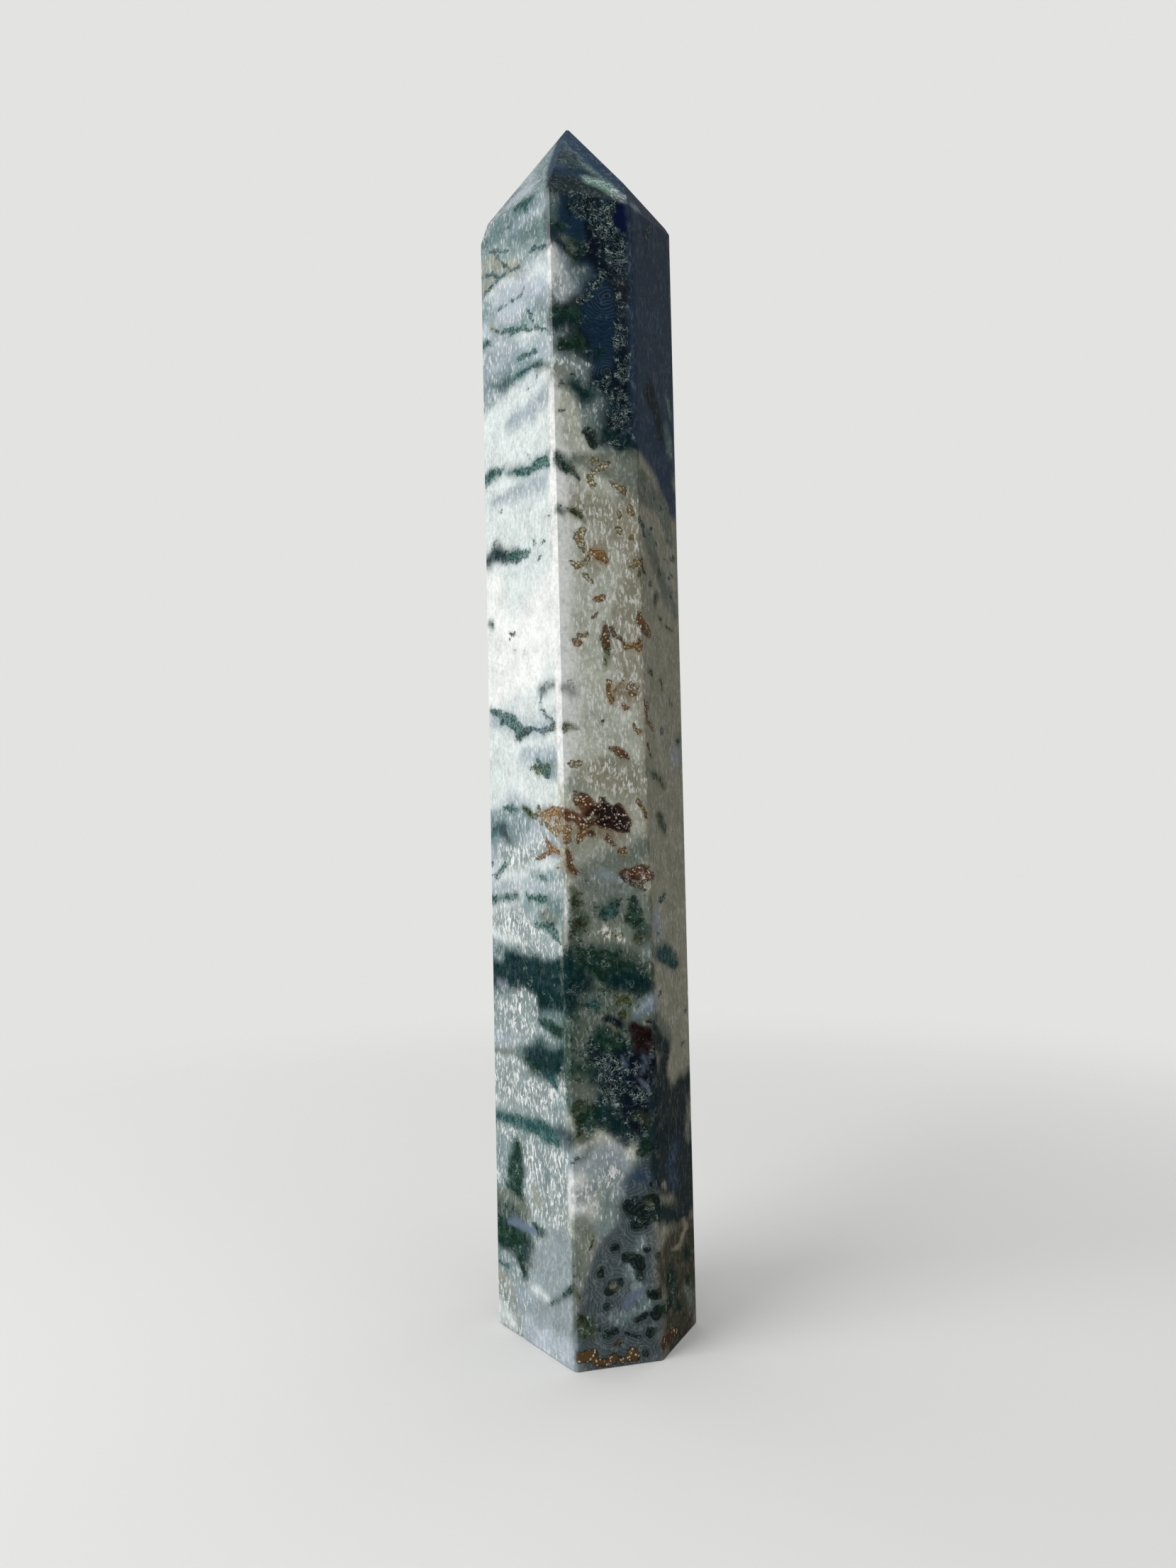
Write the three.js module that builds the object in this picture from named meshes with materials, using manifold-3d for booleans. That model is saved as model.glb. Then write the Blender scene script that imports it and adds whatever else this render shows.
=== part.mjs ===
// Moss agate tower: a six-sided column of moss agate, ground to a six-facet point at the top and
// sawn flat at the bottom, where it stands. It is one piece of stone, so it is one solid.
// Millimetres, +Z up. The origin is on the sawn base, under the middle of the column; -Y is the front.
// It is made as a lapidary makes it: a sawn blank, ground flat by flat, then its edges broken. Last
// come the places that the polish did not reach: the open pockets and the chips along one edge.

import * as THREE from "three";
import { mergeVertices } from "three/addons/utils/BufferGeometryUtils.js";
import Module from "manifold-3d";

const wasm = await Module();
wasm.setup();

// Whole stone
const HEIGHT = 300;
const BLANK_WIDTH = 64;

// The six tall faces, in order round the column. facing is the way that a face looks, in degrees from
// +X towards +Y. lean is how far it looks up, in degrees. reach is how far it is from the column's
// centre line at the base.
const BACK_LEFT = { facing: 153.0, lean: 0.3, reach: 22.8 };
const LEFT = { facing: 216.9, lean: -0.3, reach: 18.6 };
const FRONT = { facing: 283.7, lean: 0, reach: 22.5 };
const RIGHT = { facing: 333.0, lean: 0.3, reach: 22.2 };
const BACK_RIGHT = { facing: 36.9, lean: -0.3, reach: 19.0 };
const BACK = { facing: 103.7, lean: 0, reach: 22.5 };

// How wide the flat is that breaks each upright edge, where two of the tall faces meet
const EDGE_BREAKS = [
  { between: [BACK_LEFT, LEFT], width: 1.4 },
  { between: [LEFT, FRONT], width: 1.1 },
  { between: [FRONT, RIGHT], width: 0.35 },
  { between: [RIGHT, BACK_RIGHT], width: 0.6 },
  { between: [BACK_RIGHT, BACK], width: 1.0 },
  { between: [BACK, BACK_LEFT], width: 0.8 },
];
const BASE_BREAK = 0.35;

// The point: six facets that run up to one apex, which stands a little off the centre line. slope is
// how far a facet looks up, in degrees. The polish leaves a small flat instead of the last of the apex.
const APEX = { x: -1.5, y: 0, blunt: 0.35 };
const FRONT_FACET = 2;
const CROWN = [
  { facing: 168.2, slope: 35.4 },
  { facing: 222.2, slope: 33.8 },
  { facing: 287.4, slope: 36.6 },
  { facing: 331.5, slope: 39 },
  { facing: 36.9, slope: 38 },
  { facing: 103.7, slope: 36.5 },
];

// Two more flats on the point: one that takes the corner off the right shoulder, given by how far it is
// from the origin, and one at the top of the front facet, given by how far down it reaches.
const SHOULDER_FLAT = { facing: 327.6, slope: 25.4, distance: 134.7 };
const TOP_FLAT = { facing: 286.3, flatter: 2, drop: 4.8 };

// Open pockets in the front face, chips on its left edge, and one chip at the foot of the left face.
// along is measured to the right on a face from the foot of the centre line, aside to the right of an
// edge, and height from the base. size is the width, height and depth of the hollow, and turn tips it
// anticlockwise, in degrees. crystals is how many points line a pocket.
const IRON_POCKET = [
  { along: -0.9, height: 123.9, size: [7.0, 4.4, 0.9], turn: -12, crystals: 22 },
  { along: 2.3, height: 122.6, size: [4.4, 4.2, 0.8], turn: 0, crystals: 13 },
  { along: 1.4, height: 125.6, size: [1.8, 3.2, 0.7], turn: 0, crystals: 4 },
];
const QUARTZ_POCKET = [
  { along: 6.7, height: 109.4, size: [7.4, 4.6, 1.3], turn: -24, crystals: 17 },
  { along: 4.2, height: 110.1, size: [3.4, 3.4, 0.9], turn: 0, crystals: 6 },
  { along: 8.3, height: 111.0, size: [2.6, 3.4, 0.9], turn: 0, crystals: 4 },
];
const PROUD_SHARE = 0.35;

// The crystals that line the pockets. under is how far the tallest one ends below the polish, spread
// the share of the hollow that they fill, lean how far one can lean, in radians, uneven how much their
// widths and heights differ, and rooted their length as a share of the hollow's depth.
const IRON_CRYSTAL = { radius: 0.75, under: 0.1 };
const QUARTZ_CRYSTAL = { radius: 1.1, under: 0.15 };
const CRYSTALS = { sides: 6, spread: 0.88, lean: 0.35, uneven: 0.5, rooted: 1.25 };
const GOLDEN_TURN = Math.PI * (3 - Math.sqrt(5));

const EDGE_CHIPS = [
  { aside: -0.1, height: 104.1, size: [4.4, 5.0, 0.8], turn: 0 },
  { aside: 0.7, height: 99.9, size: [3.4, 5.6, 0.65], turn: 6 },
  { aside: 0.4, height: 95.2, size: [2.6, 4.6, 0.5], turn: -4 },
  { aside: 0.6, height: 256.8, size: [3.0, 3.0, 0.55], turn: 0 },
];
const FOOT_CHIP = { along: -4.7, height: 0.3, size: [2.0, 1.6, 0.5], turn: 0 };
const CHIP_FACETS = 1;
const POCKET_FACETS = 2;

const UP = new THREE.Vector3(0, 0, 1);

const stoneMaterial = new THREE.MeshStandardMaterial({ color: "#8c9a98", roughness: 0.12, metalness: 0 });

// A plane is the outward direction of a flat and its distance from the origin.
function plane(facing, slope, distance) {
  const turn = THREE.MathUtils.degToRad(facing);
  const rise = THREE.MathUtils.degToRad(slope);
  const normal = new THREE.Vector3(
    Math.cos(turn) * Math.cos(rise),
    Math.sin(turn) * Math.cos(rise),
    Math.sin(rise),
  );
  return { normal, distance };
}

function tallPlane(face) {
  return plane(face.facing, face.lean, face.reach * Math.cos(THREE.MathUtils.degToRad(face.lean)));
}

function planeThrough(point, facing, slope) {
  const flat = plane(facing, slope, 0);
  flat.distance = flat.normal.dot(point);
  return flat;
}

// The flat that breaks the edge between two planes: it looks halfway between them.
function edgeBreak(first, second, width) {
  const sum = first.normal.clone().add(second.normal);
  const difference = first.normal.clone().sub(second.normal);
  const depth = (width / 2) * (difference.length() / sum.length());
  const edgeDistance = (first.distance + second.distance) / sum.length();
  return { normal: sum.normalize(), distance: edgeDistance - depth };
}

function solidOf(geometry) {
  geometry.deleteAttribute("normal");
  geometry.deleteAttribute("uv");
  const closed = mergeVertices(geometry);
  const vertProperties = new Float32Array(closed.getAttribute("position").array);
  const triVerts = new Uint32Array(closed.getIndex().array);
  return new wasm.Manifold(new wasm.Mesh({ numProp: 3, vertProperties, triVerts }));
}

// The waste beyond a plane, as a block larger than the stone.
function wasteBeyond(flat) {
  const side = 3 * HEIGHT;
  const block = new THREE.BoxGeometry(side, side, side);
  block.translate(0, 0, side / 2 + flat.distance);
  block.applyQuaternion(new THREE.Quaternion().setFromUnitVectors(UP, flat.normal));
  return solidOf(block);
}

// The point of a tall face at a height, straight out from the centre line.
function footOn(face, height) {
  const flat = tallPlane(face);
  const turn = THREE.MathUtils.degToRad(face.facing);
  const rise = THREE.MathUtils.degToRad(face.lean);
  const outward = (flat.distance - flat.normal.z * height) / Math.cos(rise);
  return new THREE.Vector3(Math.cos(turn) * outward, Math.sin(turn) * outward, height);
}

// The point at a height on the sharp edge that two planes would make.
function cornerOf(first, second, height) {
  const rows = [first.normal, second.normal, UP].flatMap((normal) => normal.toArray());
  const inverse = new THREE.Matrix3().set(...rows).invert();
  return new THREE.Vector3(first.distance, second.distance, height).applyMatrix3(inverse);
}

// Moves a shape from the face's own frame (x to the right, y up, z out) to a point of the column.
function setOn(geometry, point, facing) {
  geometry.rotateX(Math.PI / 2);
  geometry.rotateZ(THREE.MathUtils.degToRad(facing + 90));
  geometry.translate(point.x, point.y, point.z);
  return solidOf(geometry);
}

// A shallow hollow: the lower part of a flattened ball that is set into the surface at a point, with
// its middle a little proud of it, so that the walls of the hollow stay steep.
function hollow(point, facing, shift, { size, turn }, facets) {
  const [width, tall, depth] = size;
  const proud = depth * PROUD_SHARE;
  const ball = new THREE.IcosahedronGeometry(1, facets);
  ball.scale(width / 2, tall / 2, depth + proud);
  ball.rotateZ(THREE.MathUtils.degToRad(turn));
  ball.translate(shift, 0, proud);
  return setOn(ball, point, facing);
}

function faceHollow(face, place, facets) {
  return hollow(footOn(face, place.height), face.facing, place.along, place, facets);
}

function edgeHollow(first, second, place, facets) {
  const [one, two] = [tallPlane(first), tallPlane(second)];
  const halfway = (first.facing + second.facing) / 2;
  return hollow(cornerOf(one, two, place.height), halfway, place.aside, place, facets);
}

// The crystals that line a pocket, spread like the seeds of a sunflower. Each is a six-sided point that
// grows from under the pocket's floor, leans its own way, and ends a little under the polish.
function pocketCrystals(face, pocket, { radius, under }) {
  const [width, tall, depth] = pocket.size;
  return Array.from({ length: pocket.crystals }, (_, seed) => {
    const spread = CRYSTALS.spread * Math.sqrt((seed + 0.5) / pocket.crystals);
    const way = seed * GOLDEN_TURN;
    const sway = Math.sin(way) / 2;
    const length = depth * CRYSTALS.rooted;
    const point = new THREE.ConeGeometry(radius * (1 + CRYSTALS.uneven * sway), length, CRYSTALS.sides);
    point.rotateX(Math.PI / 2);
    point.rotateZ(way);
    point.rotateX(CRYSTALS.lean * Math.sin(3 * way));
    point.rotateY(CRYSTALS.lean * Math.cos(5 * way));
    point.translate(0, 0, -under - depth * CRYSTALS.uneven * (0.5 + sway) - length / 2);
    const place = new THREE.Vector3(Math.cos(way) * width, Math.sin(way) * tall, 0);
    place.multiplyScalar(spread / 2).applyAxisAngle(UP, THREE.MathUtils.degToRad(pocket.turn));
    point.translate(pocket.along + place.x, place.y, 0);
    return setOn(point, footOn(face, pocket.height), face.facing);
  });
}

function grind(stone, flats) {
  return flats.reduce((left, flat) => left.subtract(wasteBeyond(flat)), stone);
}

function sawnBlank() {
  const blank = new THREE.BoxGeometry(BLANK_WIDTH, BLANK_WIDTH, HEIGHT);
  blank.translate(0, 0, HEIGHT / 2);
  return solidOf(blank);
}

function crownFlats() {
  const apex = new THREE.Vector3(APEX.x, APEX.y, HEIGHT + APEX.blunt);
  const flats = CROWN.map((facet) => planeThrough(apex, facet.facing, facet.slope));
  const front = CROWN[FRONT_FACET];
  const down = THREE.MathUtils.degToRad(front.facing);
  const run = TOP_FLAT.drop * Math.tan(THREE.MathUtils.degToRad(front.slope));
  const foot = new THREE.Vector3(Math.cos(down) * run, Math.sin(down) * run, -TOP_FLAT.drop).add(apex);
  flats.push(planeThrough(foot, TOP_FLAT.facing, front.slope + TOP_FLAT.flatter));
  flats.push(plane(SHOULDER_FLAT.facing, SHOULDER_FLAT.slope, SHOULDER_FLAT.distance));
  return flats;
}

function footBreaks(faces) {
  const base = { normal: new THREE.Vector3(0, 0, -1), distance: 0 };
  return faces.map((face) => edgeBreak(tallPlane(face), base, BASE_BREAK));
}

// A pocket in the front face: its hollows first, then the crystals inside them, kept within the polish.
function openPocket(stone, hollows, crystal) {
  const waste = hollows.map((place) => faceHollow(FRONT, place, POCKET_FACETS));
  const points = hollows.flatMap((place) => pocketCrystals(FRONT, place, crystal));
  const opened = waste.reduce((left, ball) => left.subtract(ball), stone);
  return points.reduce((grown, point) => grown.add(point.intersect(stone)), opened);
}

function makeTower() {
  const faces = [BACK_LEFT, LEFT, FRONT, RIGHT, BACK_RIGHT, BACK];
  let stone = grind(sawnBlank(), faces.map(tallPlane));
  stone = grind(stone, crownFlats());
  const uprights = EDGE_BREAKS.map(({ between, width }) => edgeBreak(...between.map(tallPlane), width));
  stone = grind(stone, uprights);
  stone = grind(stone, footBreaks(faces));
  stone = openPocket(stone, IRON_POCKET, IRON_CRYSTAL);
  stone = openPocket(stone, QUARTZ_POCKET, QUARTZ_CRYSTAL);
  for (const chip of EDGE_CHIPS) {
    stone = stone.subtract(edgeHollow(LEFT, FRONT, chip, CHIP_FACETS));
  }
  return stone.subtract(faceHollow(LEFT, FOOT_CHIP, CHIP_FACETS));
}

function meshOf(solid, name, material) {
  const { vertProperties, triVerts } = solid.getMesh();
  const geometry = new THREE.BufferGeometry();
  geometry.setAttribute("position", new THREE.BufferAttribute(vertProperties, 3));
  geometry.setIndex(new THREE.BufferAttribute(triVerts, 1));
  geometry.computeBoundingBox();
  const box = geometry.boundingBox;
  geometry.translate(-(box.min.x + box.max.x) / 2, -(box.min.y + box.max.y) / 2, -box.min.z);
  const mesh = new THREE.Mesh(geometry, material);
  mesh.name = name;
  return mesh;
}

const tower = new THREE.Group();
tower.add(meshOf(makeTower(), "tower", stoneMaterial));

export default tower;
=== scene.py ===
from math import cos, pi, radians, sin

import bmesh
import bpy
import numpy as np
from mathutils import Matrix, Vector, noise


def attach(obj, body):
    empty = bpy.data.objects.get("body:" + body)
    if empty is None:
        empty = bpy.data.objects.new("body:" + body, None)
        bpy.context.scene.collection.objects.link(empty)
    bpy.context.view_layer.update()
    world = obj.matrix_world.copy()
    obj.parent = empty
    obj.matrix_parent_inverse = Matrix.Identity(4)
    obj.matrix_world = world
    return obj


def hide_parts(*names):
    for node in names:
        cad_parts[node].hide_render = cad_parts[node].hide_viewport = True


bl_info = {
    "name": "Moss agate tower",
    "version": (1, 0, 0),
    "blender": (4, 5, 0),
    "location": "3D View > Sidebar > Moss agate",
    "description": "A polished moss agate tower with its markings, and a plain studio",
    "category": "Object",
}

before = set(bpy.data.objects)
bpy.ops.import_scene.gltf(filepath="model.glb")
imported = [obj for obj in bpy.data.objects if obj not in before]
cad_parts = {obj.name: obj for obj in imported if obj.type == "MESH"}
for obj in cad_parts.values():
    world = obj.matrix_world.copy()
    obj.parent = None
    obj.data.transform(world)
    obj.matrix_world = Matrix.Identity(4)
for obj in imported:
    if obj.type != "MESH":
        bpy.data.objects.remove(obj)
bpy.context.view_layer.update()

MM = 0.001

# The way that each side looks, in degrees from +X towards +Y, and how far apart its columns of vertices
# are, in millimetres: the markings are painted on the vertices, so the seen sides have the most.
SIDES = {
    "back_left": (153.0, 1.6),
    "left": (216.9, 0.8),
    "front": (283.7, 0.62),
    "right": (333.0, 0.8),
    "back_right": (36.9, 1.6),
    "back": (103.7, 1.6),
}
# How far apart the rows of vertices are, and the cuts across the base, in millimetres.
ROW_PITCH = 0.62
BASE_PITCH = 1.6

# How close two points are to be one, how far a cut may miss a point, and how even two faces are to be one,
# in millimetres and degrees.
SAME_PLACE = 0.001
CUT_SLACK = 0.0001
SAME_TURN = 0.5
# What tells the faces apart, as shares of their normals: the tall faces and all that belongs to a side look
# its way, the facets of the point look up, turned from their side by no more than this in degrees, and the
# base looks down.
TALL_SHARE = 0.99
SIDE_SHARE = 0.76
FACET_RISE = (0.5, 0.7)
FACET_TURN = 16
BASE_RISE = -0.9
# The edges that are rounded: the least length, the least size of the faces beside them and the least turn
# between these, in millimetres, square millimetres and degrees.
ROUNDED_LENGTH = 2
ROUNDED_AREA = 3
ROUNDED_TURN = 8

# What the stone is made of, place by place. ground is the colour of the chalcedony, growth the colour of
# what grows in it, edge how far in millimetres one kind of stone takes to turn into the next, and cover
# how much of what lies under it is hidden. The last five are how thick the growths are: dark moss, pale
# thread moss, iron beads, white flecks and fibres, and fine agate lines.
STONE = {
    "frost": ("#DEE8E6", "#3F5652", 3.0, 1.0, (0.0, 0.0, 0.0, 0.5, 0.0)),
    "smoke": ("#C4C8B9", "#4A5040", 3.0, 1.0, (0.0, 0.0, 0.0, 0.6, 0.0)),
    "tallow": ("#A19E88", "#4A4430", 4.0, 0.85, (0.0, 0.0, 0.0, 0.7, 0.0)),
    "sand": ("#A5A390", "#4A463A", 3.0, 1.0, (0.0, 0.0, 0.0, 0.25, 0.0)),
    # The next kind is white chalcedony. Along the front's left edge it is also a painted glow: the light that
    # comes through the stone from the lit left side.
    "milk_and_glow": ("#FAFCFA", "#4A6660", 4.5, 0.9, (0.0, 0.0, 0.0, 0.5, 0.0)),
    "quartz": ("#93A2A2", "#6F7C7A", 4.5, 0.9, (0.0, 0.0, 0.0, 1.0, 0.0)),
    "silver": ("#A4B2B3", "#6F7C7A", 6.0, 1.0, (0.0, 0.0, 0.0, 0.8, 0.0)),
    "haze": ("#9CABB5", "#4F6466", 4.0, 0.8, (0.0, 0.0, 0.0, 0.4, 0.0)),
    "pearl": ("#BAC6CF", "#4F6466", 3.5, 0.9, (0.0, 0.0, 0.0, 0.35, 0.0)),
    "mist": ("#7F9698", "#3F5A5A", 3.0, 0.85, (0.0, 0.0, 0.0, 0.4, 0.0)),
    "murk": ("#667F7F", "#2F4A48", 3.0, 0.85, (0.15, 0.0, 0.0, 0.25, 0.0)),
    "beige": ("#989D8D", "#3F4A40", 2.0, 0.85, (0.0, 0.0, 0.0, 0.3, 0.0)),
    "moth": ("#6F7A6E", "#2C362F", 2.5, 0.85, (0.15, 0.0, 0.0, 0.2, 0.0)),
    "glass": ("#3F5449", "#16302A", 4.0, 0.88, (0.3, 0.1, 0.0, 0.2, 0.0)),
    "slate": ("#30465C", "#16242F", 3.5, 0.97, (0.0, 0.0, 0.0, 0.08, 0.0)),
    "storm": ("#1A2C30", "#0C1A1C", 3.5, 0.97, (0.15, 0.0, 0.0, 0.08, 0.0)),
    "dusk": ("#33484C", "#122326", 3.0, 0.9, (0.3, 0.0, 0.0, 0.1, 0.0)),
    "navy": ("#102F45", "#061420", 1.8, 0.95, (0.1, 0.1, 0.0, 0.0, 0.3)),
    "night": ("#051325", "#020711", 2.0, 0.97, (0.35, 0.35, 0.0, 0.0, 0.0)),
    "pool": ("#02123A", "#02123A", 0.8, 1.0, (0.0, 0.0, 0.0, 0.0, 0.0)),
    "thicket": ("#0B222D", "#030B0E", 2.0, 0.9, (0.5, 0.8, 0.0, 0.0, 0.0)),
    "lace": ("#0A1822", "#050C0E", 1.2, 0.8, (0.35, 1.0, 0.0, 0.0, 0.0)),
    "teal": ("#426B69", "#123E3D", 2.6, 0.9, (0.6, 0.1, 0.0, 0.05, 0.0)),
    "deep": ("#082D30", "#052427", 3.6, 0.96, (0.45, 0.15, 0.0, 0.04, 0.0)),
    "green": ("#26463A", "#0A2618", 2.4, 0.88, (0.6, 0.3, 0.0, 0.0, 0.0)),
    "fern": ("#80A09A", "#134540", 1.8, 0.55, (0.9, 0.0, 0.0, 0.1, 0.0)),
    "vein": ("#84969A", "#27494A", 1.4, 0.5, (0.85, 0.0, 0.0, 0.1, 0.0)),
    "olive": ("#445036", "#1B230E", 2.4, 0.85, (0.5, 0.4, 0.0, 0.0, 0.0)),
    "lichen": ("#6C7350", "#3A401A", 1.4, 0.75, (0.6, 0.3, 0.3, 0.1, 0.0)),
    "cream": ("#A9AB92", "#54513A", 1.6, 0.6, (0.1, 0.3, 0.3, 1.0, 0.0)),
    "mint": ("#73A090", "#2C4640", 3.0, 0.9, (0.25, 1.0, 0.0, 0.6, 0.0)),
    "ivory": ("#CFCAB6", "#6C5A44", 1.0, 0.9, (0.1, 0.2, 0.7, 1.0, 0.0)),
    "gold": ("#C8C2A4", "#7D6630", 1.4, 0.6, (0.0, 0.0, 0.9, 0.0, 0.0)),
    "amber": ("#9C7C44", "#7E5426", 1.4, 0.8, (0.0, 0.0, 0.8, 0.0, 0.0)),
    "rust": ("#5E3A20", "#633A1E", 1.3, 0.85, (0.0, 0.0, 1.0, 0.0, 0.0)),
    "halo": ("#8C7350", "#8A5A28", 3.5, 0.6, (0.0, 0.0, 0.0, 0.3, 0.0)),
    "iron": ("#100D10", "#35201A", 0.9, 0.97, (0.0, 0.0, 1.0, 0.0, 0.0)),
    "wine": ("#260C09", "#100706", 1.2, 0.97, (0.5, 0.2, 0.0, 0.0, 0.4)),
    "bronze": ("#57482C", "#6A4C24", 1.2, 0.9, (0.2, 0.0, 1.0, 0.0, 0.0)),
    "umber": ("#3F3C2A", "#24220F", 4.0, 0.92, (0.15, 0.0, 0.0, 0.1, 0.0)),
    "bluestone": ("#37474F", "#10211F", 5.0, 0.94, (0.0, 0.0, 0.0, 0.1, 0.45)),
    "paleblue": ("#93A0A4", "#4C6060", 3.0, 0.92, (0.0, 0.0, 0.0, 0.2, 0.7)),
    "lavender": ("#6C7C92", "#4A5A74", 1.0, 0.85, (0.0, 0.0, 0.0, 0.0, 0.5)),
    "eye": ("#1A2D26", "#0A1A12", 1.1, 0.94, (0.7, 0.3, 0.0, 0.0, 0.3)),
    "chip": ("#99927E", "#6E6754", 0.7, 1.0, (0.0, 0.0, 0.0, 0.2, 0.0)),
}
GROWTHS = ("moss", "web", "bead", "fleck", "ring")

# The markings of each side, in the order in which they are painted. Each is a kind of stone and a run of
# round dabs, given as (to the right, height, radius) in millimetres. On the three sides at the back they
# are a guess: the layers of the other three run on round the edges.
BACK_LEFT = [
    ("slate", (-2, 296, 14), (0, 272, 13), (6, 258, 9)),
    ("mist", (13, 248, 2.4), (12, 266, 4), (6, 282, 4), (1, 296, 3)),
    ("haze", (15, 250, 2.4), (14, 268, 3), (8, 284, 2.6), (2, 297, 1.6)),
    ("night", (-8, 266, 5), (-7, 252, 5)),
    ("lace", (-4, 268, 2), (-6, 260, 2.6), (-9, 250, 2)),
    ("murk", (-4, 246, 5), (6, 244, 4.4), (12, 247, 3)),
    ("fern", (-10, 241, 1.6), (-2, 239.6, 2), (6, 242, 1.6), (12, 244.4, 1.2)),
    ("haze", (-8, 232, 4), (4, 230, 5), (12, 232, 4)),
    ("teal", (-12, 214.6, 1.6), (-6, 212.6, 1.6), (2, 210, 2.2), (12, 210.6, 2.1)),
    ("milk_and_glow", (8, 200, 4), (8, 176, 6), (7, 150, 6)),
    ("deep", (0, 191.8, 0.9), (5, 190.6, 1.6), (12, 189.8, 1.2)),
    ("lichen", (-5, 197, 1), (-4, 193, 1.3), (-5, 190, 0.8)),
    ("gold", (-7, 184, 0.9), (-5, 182.6, 0.8), (-3, 183.4, 0.6)),
    ("gold", (-1, 176, 0.8), (0, 174.4, 0.6)),
    ("amber", (-6, 170, 1), (-4.4, 168, 0.8), (-4.6, 165, 0.6)),
    ("fern", (-1, 160.6, 0.8), (4, 158, 1.6), (9, 154, 1.4), (12, 152, 0.8)),
    ("rust", (-7, 151, 0.6), (-5.6, 147, 1), (-6, 144, 0.5)),
    ("haze", (0, 138, 4), (8, 122, 6)),
    ("dusk", (4, 123, 2), (12, 120.4, 3)),
    ("gold", (-5, 127.6, 0.8), (-2, 125.6, 1), (0.6, 124.6, 0.6)),
    ("moth", (-8, 98, 4), (-3, 102, 3)),
    ("teal", (-10, 107, 1), (-3, 106, 1.2), (5, 105, 1.6), (12, 104.8, 1.9)),
    ("glass", (-10, 86, 7), (2, 86, 6), (12, 86, 7)),
    ("deep", (-12, 90, 4), (-2, 90, 4.6), (6, 88.6, 4.4), (13, 88.4, 4)),
    ("quartz", (-6, 76, 4), (4, 76.6, 4.4), (12, 76, 3)),
    ("green", (-9, 66, 3), (0, 67.4, 3), (6, 67, 1.8)),
    ("quartz", (8, 58.6, 4), (0, 58, 3.4)),
    ("teal", (-12, 52, 2.4), (-2, 50.6, 2.6), (6, 50, 1.8), (12, 49.8, 1.4)),
    ("mist", (-8, 40, 6), (4, 38, 7)),
    ("green", (-1, 44, 2), (2, 37, 3), (7, 32, 3.4)),
    ("dusk", (-11, 26, 5), (4, 24, 5), (12, 23, 4.6)),
    ("paleblue", (-6, 9, 9), (6, 8, 9)),
    ("eye", (-5, 13, 1.8), (-3, 12, 1.4)),
    ("eye", (4, 6.6, 1.3)),
]
BACK = [
    ("slate", (0, 296, 14), (0, 262, 13), (-2, 240, 11)),
    ("night", (-6, 262, 6), (-2, 246, 7), (4, 230, 6)),
    ("lace", (-8, 266, 2.2), (-4, 258, 2.8), (2, 252, 2.6), (-1, 243, 2.4), (3, 234, 1.8)),
    ("pool", (-8, 248, 2), (-7, 244, 1.8)),
    ("murk", (8, 252, 3.6), (9, 244, 4)),
    ("deep", (6, 246, 1.6), (11, 248, 2)),
    ("teal", (-12, 226, 3.4), (-6, 220, 3), (-2, 216, 2)),
    ("eye", (2, 219, 1.8), (3.4, 215, 1.4)),
    ("moth", (6, 212, 3), (12, 213, 3)),
    ("tallow", (-6, 196, 5), (-6, 160, 5), (-4, 140, 4)),
    ("lichen", (-2, 203, 1.2), (0, 198, 1.5)),
    ("gold", (5, 193, 0.9), (6.4, 190.4, 0.8)),
    ("gold", (-5.4, 187, 0.8), (-4, 183.4, 0.8)),
    ("amber", (1, 178, 1.2)),
    ("milk_and_glow", (9, 168, 4), (8, 150, 5)),
    ("rust", (2, 168, 0.6), (2.8, 162, 1), (1.6, 157, 0.6)),
    ("amber", (-6, 153, 1), (-4.4, 150, 0.8)),
    ("gold", (5, 148.6, 0.8), (7.4, 146.4, 0.8)),
    ("halo", (-3, 136, 3), (0, 133, 2.6)),
    ("rust", (-4.6, 138, 0.9), (-1.4, 135, 1.6), (1.4, 131.6, 0.8)),
    ("iron", (-2.4, 135.8, 0.9), (0, 133.6, 0.9)),
    ("haze", (5, 122, 4), (-4, 117, 4)),
    ("moth", (-8, 99, 4), (-1, 104, 2.6), (4, 100, 5), (10, 104, 3)),
    ("green", (-3, 116, 1.8), (1, 113, 2.4), (5, 111, 1.6)),
    ("olive", (7, 105, 2.4), (7.6, 99, 2)),
    ("cream", (-4, 104, 1.6), (-2, 101, 1.4)),
    ("glass", (-8, 83, 8), (5, 82, 8)),
    ("deep", (-12, 92, 4), (-3, 90.6, 4.6), (4, 90.4, 4.4), (12, 90.4, 4.4)),
    ("green", (-6, 91, 2), (2, 90, 2.4)),
    ("wine", (-6, 75, 2.2), (-4, 72, 2)),
    ("thicket", (2, 72, 4), (-1, 64, 5), (3, 56, 4)),
    ("night", (-6, 62, 4.4), (3, 60, 4)),
    ("lace", (1, 68, 1.8), (-2, 62, 2), (3, 57, 1.6)),
    ("olive", (8, 60, 2.4), (7, 54, 2)),
    ("haze", (-6, 46, 4), (5, 46, 4.4)),
    ("quartz", (5, 45, 3), (-4, 44, 3)),
    ("bluestone", (-7, 31, 5), (4, 26, 8), (0, 16, 13), (0, 4, 13)),
    ("eye", (-5, 33, 2.4), (-1.6, 31, 2)),
    ("eye", (5, 27, 2)),
    ("eye", (-1, 20, 1.8), (1.8, 19, 1.5)),
    ("eye", (-6, 12, 2)),
    ("eye", (5.6, 11, 2), (7.4, 9, 1.4)),
    ("eye", (-9, 23, 1.5)),
    ("bronze", (-3, 2.4, 1.2), (2, 2, 1.2)),
]
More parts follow.
